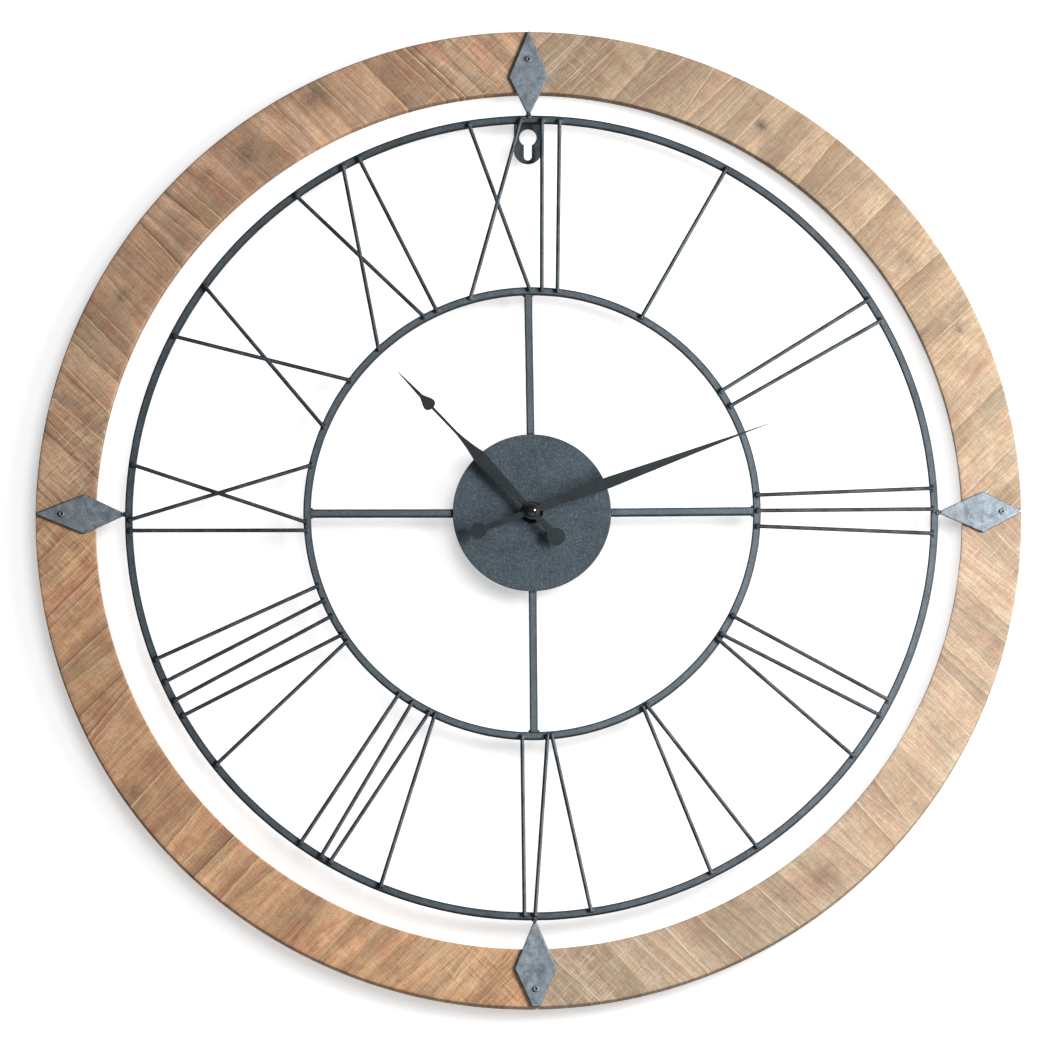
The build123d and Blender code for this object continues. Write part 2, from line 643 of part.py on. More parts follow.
for contact_name, side in (("positive", 1), ("negative", -1)):
    blade_start = BATTERY_LENGTH / 2
    foot_end = CASE_INNER_HALF
    with BuildPart() as contact:
        with BuildSketch(face_plane(BATTERY_HEIGHT - CONTACT_WIDTH / 2)):
            with Locations((side * (blade_start + CONTACT_THICKNESS / 2), BATTERY_RISE)):
                Rectangle(CONTACT_THICKNESS, CONTACT_WIDTH)
        extrude(amount=CONTACT_WIDTH)
        with BuildSketch(face_plane(BATTERY_HEIGHT + CONTACT_WIDTH / 2 - CONTACT_THICKNESS)):
            with Locations((side * (blade_start + foot_end) / 2, BATTERY_RISE)):
                Rectangle(foot_end - blade_start, CONTACT_WIDTH)
        extrude(amount=CONTACT_THICKNESS)
    contact.part.label = f"battery_contact_{contact_name}"
    export_step(contact.part, f"parts/battery_contact_{contact_name}.step")

with BuildPart() as circuit_board:
    (left, bottom), (right, top) = BOARD_CORNERS
    with BuildSketch(face_plane(GEAR_PLATE_FRONT)):
        with Locations(((left + right) / 2, (bottom + top) / 2)):
            Rectangle(right - left, top - bottom)
    extrude(amount=BOARD_THICKNESS)
    with BuildSketch(face_plane(GEAR_PLATE_FRONT + BOARD_THICKNESS)):
        with Locations(((left + right) / 2, top / 3)):
            Circle(CHIP_RADIUS)
    extrude(amount=CHIP_HEIGHT, taper=CHIP_TAPER)
circuit_board.part.label = "circuit_board"
export_step(circuit_board.part, "parts/circuit_board.step")

crystal_height = GEAR_PLATE_FRONT + BOARD_THICKNESS + CRYSTAL_RADIUS
crystal_x = HUB[0] + left + 3 * CRYSTAL_RADIUS
crystal_z = HUB[1] + bottom + 2 * CRYSTAL_RADIUS
quartz_crystal = round_bar(
    (crystal_x, -crystal_height, crystal_z),
    (crystal_x, -crystal_height, crystal_z + CRYSTAL_LENGTH),
    CRYSTAL_RADIUS,
)
quartz_crystal.label = "quartz_crystal"
export_step(quartz_crystal, "parts/quartz_crystal.step")

rotor_place = (ROTOR_ARBOR[0] - HUB[0], ROTOR_ARBOR[1] - HUB[1])
bar_bottom = rotor_place[1] - STATOR_BAR_WIDTH / 2
with BuildPart() as stator:
    with BuildSketch(face_plane(STATOR_BACK)):
        with Locations((STATOR_LEFT, bar_bottom)):
            Rectangle(STATOR_RIGHT - STATOR_LEFT, STATOR_BAR_WIDTH, align=(Align.MIN, Align.MIN))
            Rectangle(STATOR_LEG_WIDTHS[0], STATOR_LEG_TOP - bar_bottom, align=(Align.MIN, Align.MIN))
        with Locations((STATOR_RIGHT, bar_bottom)):
            Rectangle(STATOR_LEG_WIDTHS[1], STATOR_LEG_TOP - bar_bottom, align=(Align.MAX, Align.MIN))
        with Locations(rotor_place):
            Circle(ROTOR_HOLE_RADIUS, mode=Mode.SUBTRACT)
        with Locations(*STAKE_SPOTS):
            Circle(STAKE_RADIUS + HOLE_PLAY, mode=Mode.SUBTRACT)
    extrude(amount=PLATE_THICKNESS)
stator.part.label = "stator"
export_step(stator.part, "parts/stator.step")

with BuildPart() as coil_core:
    with BuildSketch(face_plane(CORE_BACK)):
        with Locations((STATOR_LEFT, CORE_RISE)):
            Rectangle(STATOR_RIGHT - STATOR_LEFT, CORE_WIDTH, align=(Align.MIN, Align.CENTER))
        with Locations(*STAKE_SPOTS):
            Circle(STAKE_RADIUS + HOLE_PLAY, mode=Mode.SUBTRACT)
    extrude(amount=PLATE_THICKNESS)
coil_core.part.label = "coil_core"
export_step(coil_core.part, "parts/coil_core.step")

coil_height = CORE_BACK + PLATE_THICKNESS / 2
with BuildPart() as coil:
    add(round_bar(
        (HUB[0] + COIL_SPAN[0], -coil_height, HUB[1] + CORE_RISE),
        (HUB[0] + COIL_SPAN[1], -coil_height, HUB[1] + CORE_RISE),
        COIL_RADIUS,
    ))
    add(coil_core.part, mode=Mode.SUBTRACT)
coil.part.label = "coil"
export_step(coil.part, "parts/coil.step")


# ---------------------------------------------------------------- train of wheels

def arbor_with_wheels(centre, radius, wheels, back=BEARING_BACK, front=BEARING_FRONT):
    """An arbor and the gears moulded on it, each gear as teeth, module, phase, back and thickness."""
    with BuildPart() as wheel:
        add(collar(radius, back, front, centre=centre))
        for teeth, module, phase, gear_back, thickness in wheels:
            add(gear(teeth, module, phase, gear_back, thickness, centre))
    return wheel.part


def wheel_solid(teeth, module, phase, back):
    """A wheel as arbor_with_wheels takes it."""
    return teeth, module, phase, back, WHEEL_THICKNESS


def pinion_solid(teeth, module, phase, wheel_back, thickness=PINION_THICKNESS):
    """A pinion as arbor_with_wheels takes it, centred on the thickness of the wheel it meshes with."""
    return teeth, module, phase, wheel_back - (thickness - WHEEL_THICKNESS) / 2, thickness


centre_wheel = gear(
    *wheel_solid(CENTRE_TEETH, CENTRE_MODULE, 0, CENTRE_WHEEL_BACK),
    bore=MINUTE_SHAFT_RADIUS,
)
centre_wheel.label = "centre_wheel"
export_step(centre_wheel, "parts/centre_wheel.step")

third_phase = meshing_phase(THIRD_BEARING, CENTRE_TEETH, 0, THIRD_PINION_TEETH)
third_wheel = arbor_with_wheels(THIRD_ARBOR, PIVOT_RADIUS, [
    pinion_solid(THIRD_PINION_TEETH, CENTRE_MODULE, third_phase, CENTRE_WHEEL_BACK),
    wheel_solid(THIRD_TEETH, THIRD_MODULE, third_phase, THIRD_WHEEL_BACK),
])
third_wheel.label = "third_wheel"
export_step(third_wheel, "parts/third_wheel.step")

fourth_phase = meshing_phase(FOURTH_BEARING, THIRD_TEETH, third_phase, FOURTH_PINION_TEETH)
fourth_wheel = arbor_with_wheels(FOURTH_ARBOR, PIVOT_RADIUS, [
    pinion_solid(FOURTH_PINION_TEETH, THIRD_MODULE, fourth_phase, THIRD_WHEEL_BACK),
    wheel_solid(FOURTH_TEETH, FOURTH_MODULE, fourth_phase, FOURTH_WHEEL_BACK),
])
fourth_wheel.label = "fourth_wheel"
export_step(fourth_wheel, "parts/fourth_wheel.step")

fifth_phase = meshing_phase(FIFTH_BEARING, FOURTH_TEETH, fourth_phase, FIFTH_PINION_TEETH)
fifth_wheel = arbor_with_wheels(FIFTH_ARBOR, PIVOT_RADIUS, [
    pinion_solid(FIFTH_PINION_TEETH, FOURTH_MODULE, fifth_phase, FOURTH_WHEEL_BACK),
    wheel_solid(FIFTH_TEETH, FIFTH_MODULE, fifth_phase, FIFTH_WHEEL_BACK),
])
fifth_wheel.label = "fifth_wheel"
export_step(fifth_wheel, "parts/fifth_wheel.step")

rotor_phase = meshing_phase(ROTOR_BEARING, FIFTH_TEETH, fifth_phase, ROTOR_PINION_TEETH)
magnet_back = STATOR_BACK - MAGNET_OVERHANG
magnet_front = CORE_BACK + MAGNET_OVERHANG
rotor_pinion = pinion_solid(
    ROTOR_PINION_TEETH, FIFTH_MODULE, rotor_phase, FIFTH_WHEEL_BACK, THIN_PINION_THICKNESS
)
with BuildPart() as rotor:
    add(arbor_with_wheels(ROTOR_ARBOR, PIVOT_RADIUS, [rotor_pinion]))
    add(collar(MAGNET_RADIUS, magnet_back, magnet_front, centre=ROTOR_ARBOR))
rotor.part.label = "rotor"
export_step(rotor.part, "parts/rotor.step")

pivot_shoulder = GEAR_PLATE_FRONT + SHAFT_SHOULDER_GAP
shaft_shoulder = CENTRE_WHEEL_BACK - SHAFT_SHOULDER_GAP
minute_shaft = turned([
    (0, BEARING_BACK),
    (PIVOT_RADIUS, BEARING_BACK),
    (PIVOT_RADIUS, pivot_shoulder),
    (MINUTE_SHAFT_RADIUS / 2, pivot_shoulder),
    (MINUTE_SHAFT_RADIUS / 2, shaft_shoulder),
    (MINUTE_SHAFT_RADIUS, shaft_shoulder),
    (MINUTE_SHAFT_RADIUS, MINUTE_HAND_BACK),
    (MINUTE_THREAD_RADIUS, MINUTE_HAND_BACK),
    (MINUTE_THREAD_RADIUS, THREAD_END),
    (0, THREAD_END),
])
minute_shaft.label = "minute_shaft"
export_step(minute_shaft, "parts/minute_shaft.step")

cannon_pinion = gear(
    *pinion_solid(CANNON_TEETH, MOTION_MODULE, 0, MOTION_WHEEL_BACK, THIN_PINION_THICKNESS),
    bore=MINUTE_SHAFT_RADIUS,
)
cannon_pinion.label = "cannon_pinion"
export_step(cannon_pinion, "parts/cannon_pinion.step")

motion_phase = meshing_phase(MOTION_BEARING, CANNON_TEETH, 0, MOTION_TEETH)
motion_wheel = arbor_with_wheels(MOTION_ARBOR, MOTION_ARBOR_RADIUS, [
    wheel_solid(MOTION_TEETH, MOTION_MODULE, motion_phase, MOTION_WHEEL_BACK),
    pinion_solid(MOTION_PINION_TEETH, HOUR_MODULE, motion_phase, HOUR_WHEEL_BACK, MOTION_PINION_THICKNESS),
], back=CASE_BACK - KNOB_HEIGHT)
motion_wheel.label = "motion_wheel"
export_step(motion_wheel, "parts/motion_wheel.step")

hour_phase = meshing_phase(MOTION_BEARING + 180, MOTION_PINION_TEETH, motion_phase, HOUR_TEETH)
with BuildPart() as hour_wheel:
    add(gear(*wheel_solid(HOUR_TEETH, HOUR_MODULE, hour_phase, HOUR_WHEEL_BACK), bore=HOUR_TUBE_BORE))
    add(collar(HOUR_TUBE_RADIUS, HOUR_WHEEL_BACK, HOUR_TUBE_FRONT, bore=HOUR_TUBE_BORE))
hour_wheel.part.label = "hour_wheel"
export_step(hour_wheel.part, "parts/hour_wheel.step")

with BuildPart() as setting_knob:
    with BuildSketch(face_plane(CASE_BACK - KNOB_GAP, MOTION_ARBOR)):
        Circle(KNOB_RADIUS)
        Circle(MOTION_ARBOR_RADIUS, mode=Mode.SUBTRACT)
        with PolarLocations(KNOB_RADIUS, KNOB_FLUTES):
            Circle(KNOB_FLUTE_RADIUS, mode=Mode.SUBTRACT)
    extrude(amount=KNOB_GAP - KNOB_HEIGHT)
setting_knob.part.label = "setting_knob"
export_step(setting_knob.part, "parts/setting_knob.step")


# ---------------------------------------------------------------- hands and cap nut

def hand_tail(reach, radius, half_width):
    """The counterweight behind the shaft: a straight tail that ends in a round disc."""
    Rectangle(2 * half_width, reach, align=(Align.CENTER, Align.MAX))
    with Locations((0, -reach)):
        Circle(radius)


with BuildPart() as hour_hand:
    with BuildSketch(face_plane(HOUR_HAND_BACK, angle=HOUR_HAND_ANGLE)):
        with BuildLine():
            Polyline((0, HAND_ROOT), HOUR_BLADE_ROOT, HOUR_BLADE_SHOULDER)
            Spline(HOUR_BLADE_SHOULDER, HOUR_BLADE_FLANK, HOUR_STEM_START)
            Line(HOUR_STEM_START, HOUR_STEM_END)
            Spline(HOUR_STEM_END, HOUR_SPADE_LOBE, HOUR_SPADE_FLANK, HOUR_SPADE_NECK)
            Polyline(HOUR_SPADE_NECK, HOUR_TIP, (0, HOUR_TIP[1]))
            mirror(about=Plane.YZ)
        make_face()
        Circle(HAND_BOSS_RADIUS)
        hand_tail(HOUR_TAIL_REACH, HOUR_TAIL_RADIUS, HOUR_TAIL_HALF_WIDTH)
        Circle(HOUR_TUBE_RADIUS, mode=Mode.SUBTRACT)
    extrude(amount=HAND_THICKNESS)
hour_hand.part.label = "hour_hand"
export_step(hour_hand.part, "parts/hour_hand.step")

collet_back = HOUR_HAND_BACK - COLLET_LENGTH
hour_hand_collet = collar(COLLET_RADIUS, collet_back, HOUR_HAND_BACK, bore=HOUR_TUBE_RADIUS)
hour_hand_collet.label = "hour_hand_collet"
export_step(hour_hand_collet, "parts/hour_hand_collet.step")

with BuildPart() as minute_hand:
    with BuildSketch(face_plane(MINUTE_HAND_BACK, angle=MINUTE_HAND_ANGLE)):
        with BuildLine():
            Polyline(
                (0, HAND_ROOT),
                MINUTE_BLADE_ROOT,
                MINUTE_BLADE_SHOULDER,
                MINUTE_NEEDLE,
                MINUTE_TIP,
                (0, MINUTE_TIP[1]),
            )
            mirror(about=Plane.YZ)
        make_face()
        Circle(HAND_BOSS_RADIUS)
        hand_tail(MINUTE_TAIL_REACH, MINUTE_TAIL_RADIUS, MINUTE_TAIL_HALF_WIDTH)
        Circle(MINUTE_THREAD_RADIUS, mode=Mode.SUBTRACT)
    extrude(amount=HAND_THICKNESS)
minute_hand.part.label = "minute_hand"
export_step(minute_hand.part, "parts/minute_hand.step")

cap_top = CAP_BACK + CAP_HEIGHT
rim_top = CAP_BACK + CAP_RIM_HEIGHT
dome_rise = CAP_HEIGHT - CAP_RIM_HEIGHT
dome_radius = (CAP_RADIUS**2 + dome_rise**2) / (2 * dome_rise)
dome_half_turn = math.asin(CAP_RADIUS / dome_radius) / 2
dome_middle = (
    dome_radius * math.sin(dome_half_turn),
    cap_top - dome_radius * (1 - math.cos(dome_half_turn)),
)
with BuildPart() as cap_nut:
    with BuildSketch(Plane(origin=(HUB[0], 0, HUB[1]), x_dir=(1, 0, 0), z_dir=(0, 0, -1))):
        with BuildLine():
            Polyline((0, cap_top), (0, CAP_BACK), (CAP_RADIUS, CAP_BACK), (CAP_RADIUS, rim_top))
            ThreePointArc((CAP_RADIUS, rim_top), dome_middle, (0, cap_top))
        make_face()
    revolve(axis=Axis((HUB[0], 0, HUB[1]), (0, 1, 0)))
    add(collar(MINUTE_THREAD_RADIUS, CAP_BACK, CAP_BACK + CAP_BORE_HEIGHT), mode=Mode.SUBTRACT)
cap_nut.part.label = "cap_nut"
export_step(cap_nut.part, "parts/cap_nut.step")
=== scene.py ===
import json
import math
import random

import bmesh
import bpy
import numpy as np
from mathutils import Matrix, Vector, noise


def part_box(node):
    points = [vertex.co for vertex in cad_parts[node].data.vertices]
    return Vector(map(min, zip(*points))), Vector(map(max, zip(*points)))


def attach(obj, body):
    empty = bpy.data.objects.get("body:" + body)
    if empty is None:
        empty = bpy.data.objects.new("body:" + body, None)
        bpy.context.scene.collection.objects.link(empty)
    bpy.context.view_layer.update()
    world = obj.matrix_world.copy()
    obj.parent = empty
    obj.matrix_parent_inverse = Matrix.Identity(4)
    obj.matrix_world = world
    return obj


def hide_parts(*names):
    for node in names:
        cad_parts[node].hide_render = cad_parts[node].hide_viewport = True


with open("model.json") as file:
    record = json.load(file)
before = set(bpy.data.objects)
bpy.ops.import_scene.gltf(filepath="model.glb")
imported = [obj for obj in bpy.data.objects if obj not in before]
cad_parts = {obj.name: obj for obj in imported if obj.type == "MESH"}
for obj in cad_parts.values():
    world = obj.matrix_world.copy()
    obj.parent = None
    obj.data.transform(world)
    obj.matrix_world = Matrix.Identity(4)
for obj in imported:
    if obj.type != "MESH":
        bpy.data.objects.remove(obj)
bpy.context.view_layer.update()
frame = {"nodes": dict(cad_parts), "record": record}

# The looks of a wall clock: oak boards with raised saw marks, forged iron with weld beads,
# black hands and a quartz movement. Metres. X runs right, Z up and the dial faces -Y.
# A dial angle runs clockwise from twelve o'clock, as the reader sees it.

# ---------------------------------------------------------------- sizes and places

MM = 0.001

BOARD_ANGLES = {
    "upper_right": (0.0, 89.3),
    "lower_right": (89.3, 179.1),
    "lower_left": (179.1, 270.5),
    "upper_left": (270.5, 360.0),
}
BORE_RADIUS = 351.4 * MM
BORE_DROP = 1.4 * MM
DIAMOND_ANGLES = {"top": 0.0, "right": 89.3, "bottom": 179.1, "left": 270.5}
SPOKE_ANGLES = {"top": 359.0, "right": 89.5, "bottom": 179.5, "left": 270.0}

EDGE_STEPS = (0.0, 0.15 * MM, 0.45 * MM, 1.0 * MM)
BOARD_ROWS = 14
BOARD_STATION = 3 * MM
BOARD_EASE = 0.9 * MM
RIDGE_HALF_WIDTH = 0.75 * MM
RIDGE_HEIGHT = 0.25 * MM
BAND_STEP = 0.12 * MM
BOARD_SINK = 0.30 * MM
MARK_LEAN = 3.5 * MM
MARK_SWAY = 0.4 * MM
LEAN_TAPER = 60 * MM

DIAMOND_ROWS = 15
DIAMOND_STATION = 1 * MM
DIAMOND_EASE = 0.7 * MM
HAMMER_DEPTH = 0.35 * MM

RING_FACE = 6.4 * MM
RING_STATION = 4 * MM
ARRIS = 0.7 * MM
ARRIS_STEPS = 3
FORGED_DENT = 0.18 * MM
NAIL_TURNS = 28

BEAD_ALONG = 2.0 * MM
BEAD_ACROSS = 1.5 * MM
BEAD_HEIGHT = 1.1 * MM

CAMERA_DISTANCE = 20.0
CAMERA_AZIMUTH = 0.3
CAMERA_ELEVATION = -8.46
CAMERA_FIELD = 0.8551
CAMERA_AIM = (-1.24 * MM, -5.86 * MM)


def joined_box(nodes):
    """Lowest and highest corner of several CAD nodes together."""
    corners = np.array([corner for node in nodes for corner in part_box(node)])
    return Vector(corners.min(0)), Vector(corners.max(0))


record = frame["record"]
board_low, board_high = joined_box([f"wood_board_{name}" for name in BOARD_ANGLES])
WOOD_CENTRE = (board_low + board_high) / 2
WOOD_RADIUS = (board_high.x - board_low.x) / 2
WOOD_FRONT, WOOD_BACK = board_low.y, board_high.y
RING_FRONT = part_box("outer_ring")[0].y
HUB = Vector(next(j["pos_m"] for j in record["behaviour"]["joints"] if j["name"] == "minute_turn"))


def direction(angle):
    """The unit vector at a dial angle."""
    turn = math.radians(angle)
    return Vector((math.sin(turn), 0, math.cos(turn)))


def colour(code):
    """A linear colour from an sRGB hex code."""
    values = [int(code[i:i + 2], 16) / 255 for i in (0, 2, 4)]
    linear = [v / 12.92 if v <= 0.04045 else ((v + 0.055) / 1.055) ** 2.4 for v in values]
    return (*linear, 1.0)


# ---------------------------------------------------------------- node materials

class Paint:
    """A node material under construction, around one Principled shader."""

    def __init__(self, name, **values):
        self.material = bpy.data.materials.new(name)
        self.material.use_nodes = True
        self.nodes = self.material.node_tree.nodes
        self.links = self.material.node_tree.links
        self.shader = self.nodes["Principled BSDF"]
        for socket, value in values.items():
            self.shader.inputs[socket.replace("_", " ")].default_value = value
        self.place = self.node("TexCoord").outputs["Object"]

    def node(self, kind, inputs=None, **settings):
        """A node with its settings, and with a value or a link on each input named."""
        made = self.nodes.new("ShaderNode" + kind)
        for name, value in settings.items():
            setattr(made, name, value)
        for socket, value in (inputs or {}).items():
            if isinstance(value, bpy.types.NodeSocket):
                self.links.new(value, made.inputs[socket])
            else:
                made.inputs[socket].default_value = value
        return made

    def stretched(self, scale, place=None):
        """The place scaled by one number, or by one for each axis."""
        scale = scale if isinstance(scale, tuple) else (scale, scale, scale)
        return self.node("Mapping", {"Vector": place or self.place, "Scale": scale}).outputs[0]

    def noise(self, scale, detail=2.0, rough=0.5, warp=0.0, place=None):
        """Noise from 0 to 1 whose features number scale to the metre."""
        inputs = {
            "Vector": self.stretched(scale, place),
            "Scale": 1.0,
            "Detail": detail,
            "Roughness": rough,
            "Distortion": warp,
        }
        return self.node("TexNoise", inputs).outputs[0]

    def cells(self, scale, feature="F1", place=None):
        """Distance inside Voronoi cells that number scale to the metre."""
        inputs = {"Vector": self.stretched(scale, place), "Scale": 1.0}
        return self.node("TexVoronoi", inputs, feature=feature).outputs["Distance"]

    def fit(self, value, low, high, to_low=0.0, to_high=1.0):
        """The value carried from one range to another, and clamped."""
        inputs = {"Value": value, "From Min": low, "From Max": high, "To Min": to_low, "To Max": to_high}
        return self.node("MapRange", inputs).outputs[0]

    def maths(self, operation, first, second=0.0):
        """A sum, product or other operation on two numbers."""
        return self.node("Math", {0: first, 1: second}, operation=operation).outputs[0]

    def times(self, first, second):
        """The product of two numbers."""
        return self.maths("MULTIPLY", first, second)

    def mix(self, factor, first, second):
        """A colour between two others."""
        return self.node("Mix", {0: factor, 6: first, 7: second}, data_type="RGBA").outputs[2]

    def shaded(self, base, value, amount):
        """A colour made darker where the value is low and lighter where it is high."""
        lightness = self.fit(value, 0.3, 0.7, 1 - amount, 1 + amount)
        return self.node("HueSaturation", {"Color": base, "Value": lightness}).outputs[0]

    def attribute(self, name):
        """A number stored at the mesh's points."""
        return self.node("Attribute", attribute_name=name).outputs["Fac"]

    def feed(self, socket, value):
        """Links a value to the shader."""
        self.links.new(value, self.shader.inputs[socket])

    def bump(self, height, depth):
        """Links a relief of that depth in metres to the shader's normal."""
        bumped = self.node("Bump", {"Height": height, "Distance": depth, "Strength": 1.0})
        self.feed("Normal", bumped.outputs[0])


def oak(name, looks):
    """Rough-sawn, stained oak: torn fibres along the saw marks, washes of stain, scratches and knots, with
    painted shadow beside the saw ridges and painted shade on the outer arris.
    """
    paint = Paint(name, Specular_IOR_Level=0.25)
    grain = paint.node("Attribute", attribute_name="grain").outputs["Vector"]
    patches = paint.noise((15, 15, 26), 4, 0.6, 0.5, grain)
    blush = paint.noise((60, 30, 13), 4, 0.65, 0.5, grain)
    wash = paint.noise((38, 38, 24), 4, 0.65, 1.0, grain)
    streaks = paint.noise((300, 60, 11), 3, 0.6, 0.1, grain)
    tears = paint.noise((800, 400, 100), 4, 0.75, 0.2, grain)
    fibres = paint.noise((90, 400, 640), 4, 0.7, 0.3, grain)
    grit = paint.noise(850, 3, 0.7, 0, grain)

    base = paint.mix(paint.fit(patches, 0.35, 0.65), looks["pale"], looks["brown"])
    base = paint.mix(paint.fit(blush, 0.50, 0.66, 0, 0.65), base, looks["red"])
    base = paint.mix(paint.fit(wash, 0.50, 0.68, 0, 0.55), base, looks["grey"])
    base = paint.shaded(base, paint.attribute("shade"), 0.13)
    base = paint.shaded(base, streaks, 0.22)
    base = paint.shaded(base, tears, 0.26)
    base = paint.shaded(base, fibres, 0.16)
    base = paint.shaded(base, grit, 0.20)

    broken = paint.fit(streaks, 0.35, 0.6, 0.5, 1)
    base = paint.mix(paint.times(paint.attribute("band"), broken), base, looks["dark"])
    mottle = paint.fit(paint.noise(380, 4, 0.75, 1.2, grain), 0.36, 0.54, 0.3, 1)
    base = paint.mix(paint.times(paint.attribute("knot"), mottle), base, looks["knot"])
    worn = paint.attribute("worn")
    scratches = (
        ((620, 60, 38), "dark"),
        ((36, 60, 560), "dark"),
        ((40, 60, 700), "ridge"),
        ((760, 60, 44), "ridge"),
    )
    for scale, tone in scratches:
        line = paint.fit(paint.noise(scale, 2, 0.5, 0.4, grain), 0.58, 0.66, 0, 0.42)
        base = paint.mix(paint.times(worn, line), base, looks[tone])
    torn = paint.fit(paint.noise((110, 60, 60), 3, 0.7, 0, grain), 0.36, 0.58, 0.15, 1)
    base = paint.mix(paint.times(paint.attribute("ridge"), torn), base, looks["ridge"])
    # Painted shadow: a dark line beside each raised saw ridge, where the mesh has no groove.
    painted_ridge_shadow = paint.times(paint.attribute("groove"), paint.fit(torn, 0, 1, 1, 0.45))
    base = paint.mix(painted_ridge_shadow, base, looks["dark"])
    # Painted shade: the outer arris darkened, most on the left boards, away from the key light.
    base = paint.mix(paint.times(paint.attribute("burnt"), 0.75), base, colour("43372d"))
    paint.feed("Base Color", base)
    paint.feed("Roughness", paint.fit(fibres, 0.3, 0.7, 0.62, 0.86))
    relief = paint.maths("ADD", paint.times(tears, 0.6), paint.times(fibres, 0.4))
    paint.bump(relief, 0.5 * MM)
    return paint.material


def iron(name, dark, pale, scaled, roughness, metallic=0.75):
    """Forged iron in thin satin paint: cloudy scale, paler on flat bars, fine specks, and painted shade on
    the arrises.
    """
    paint = Paint(name, Metallic=metallic)
    clouds = paint.noise(60, 4, 0.6, 0.5)
    specks = paint.noise(900, 3, 0.75)
    base = paint.mix(paint.fit(clouds, 0.38, 0.62), dark, pale)
    scale = paint.times(paint.attribute("scale"), paint.fit(clouds, 0.2, 0.8, 0.8, 1))
    base = paint.mix(scale, base, scaled)
    base = paint.shaded(base, specks, 0.45)
    # Painted shade: the arrises, sides and back of a forged bar darkened.
    base = paint.mix(paint.times(paint.attribute("edge"), 0.8), base, colour("14191b"))
    paint.feed("Base Color", base)
    sheen = paint.maths("ADD", paint.times(clouds, 0.5), paint.times(specks, 0.5))
    paint.feed("Roughness", paint.fit(sheen, 0.35, 0.65, roughness - 0.06, roughness + 0.10))
    dents = paint.noise(170, 2, 0.5)
    relief = paint.maths("ADD", paint.times(dents, 0.75), paint.times(specks, 0.25))
    paint.bump(relief, 0.35 * MM)
    return paint.material


def hammered_iron():
    """Bare forged plate: grey-blue scale, pale specks on the high spots, and painted shade at the edges."""
    paint = Paint("hammered_iron", Metallic=0.5)
    scale = paint.noise(150, 4, 0.7, 0.6)
    specks = paint.noise(1000, 3, 0.75)
    clouds = paint.noise(50, 3, 0.6)
    base = paint.mix(paint.fit(scale, 0.36, 0.64), colour("646c73"), colour("7f8991"))
    base = paint.shaded(base, specks, 0.30)
    base = paint.shaded(base, clouds, 0.12)
    # Painted shade at a plate's edges and back, and in the nail heads' hollows and round their rims.
    base = paint.mix(paint.times(paint.attribute("edge"), 0.8), base, colour("1d2225"))
    paint.feed("Base Color", base)
    paint.feed("Roughness", paint.fit(scale, 0.3, 0.7, 0.46, 0.66))
    paint.bump(paint.maths("ADD", scale, paint.times(specks, 0.5)), 0.20 * MM)
    return paint.material


def powder_coat(name, tone, roughness, speck):
    """Matt baked powder coat: a fine orange peel with paler specks of dust."""
    paint = Paint(name, Specular_IOR_Level=0.4)
    peel = paint.noise(800, 3, 0.7)
    dust = paint.fit(paint.noise(1000, 2, 0.6), 0.52, 0.70)
    wear = paint.noise(35, 4, 0.65, 0.7)
    base = paint.shaded(tone, wear, 0.16)
    base = paint.shaded(base, peel, 0.40)
    base = paint.mix(paint.times(dust, speck), base, colour("8b959a"))
    paint.feed("Base Color", base)
    paint.feed("Roughness", paint.fit(wear, 0.3, 0.7, roughness - 0.06, roughness + 0.08))
    paint.bump(peel, 0.08 * MM)
    return paint.material


def gloss_black():
    """Polished black cap: gloss lacquer with faint swirl marks."""
    paint = Paint("gloss_black", Specular_IOR_Level=0.6, Coat_Weight=0.6, Coat_Roughness=0.06)
    swirl = paint.noise((900, 900, 900), 3, 0.6, 2.0)
    paint.feed("Base Color", paint.shaded(colour("121212"), swirl, 0.3))
    paint.feed("Roughness", paint.fit(swirl, 0.3, 0.7, 0.14, 0.26))
    return paint.material


def moulded_plastic(name, tone, roughness):
    """Injection-moulded plastic: fine spark texture and faint flow lines."""
    paint = Paint(name, Specular_IOR_Level=0.45)
    spark = paint.noise(2400, 2, 0.6)
    flow = paint.noise((60, 60, 420), 2, 0.5, 1.2)
    base = paint.shaded(paint.shaded(tone, flow, 0.07), spark, 0.08)
    paint.feed("Base Color", base)
    paint.feed("Roughness", paint.fit(spark, 0.3, 0.7, roughness - 0.07, roughness + 0.07))
    paint.bump(spark, 0.04 * MM)
    return paint.material


def turned_metal(name, tone, roughness):
    """Metal turned on a lathe about the clock's shaft: fine rings, with a slight stain."""
    paint = Paint(name, Metallic=1.0)
    centred = paint.node("Mapping", {"Vector": paint.place, "Location": (-HUB.x, 0, -HUB.z)}).outputs[0]
    flat = paint.stretched((1, 0, 1), centred)
    reach = paint.node("VectorMath", {0: flat}, operation="LENGTH").outputs["Value"]
    across = paint.node("CombineXYZ", {"X": reach}).outputs[0]
    rings = paint.noise(9000, 2, 0.6, 0, across)
    stain = paint.noise(220, 3, 0.6)
    paint.feed("Base Color", paint.shaded(paint.shaded(tone, stain, 0.12), rings, 0.10))
    paint.feed("Roughness", paint.fit(stain, 0.3, 0.7, roughness - 0.06, roughness + 0.10))
    paint.bump(rings, 0.01 * MM)
    return paint.material


def brushed_steel(name, tone, roughness, along=(60, 1500, 1500)):
    """Rolled strip or can: fine parallel scratches and a faint haze."""
    paint = Paint(name, Metallic=1.0)
    lines = paint.noise(along, 3, 0.7)
    haze = paint.noise(160, 3, 0.6)
    paint.feed("Base Color", paint.shaded(paint.shaded(tone, haze, 0.10), lines, 0.10))
    paint.feed("Roughness", paint.fit(lines, 0.3, 0.7, roughness - 0.07, roughness + 0.08))
    paint.bump(lines, 0.01 * MM)
    return paint.material


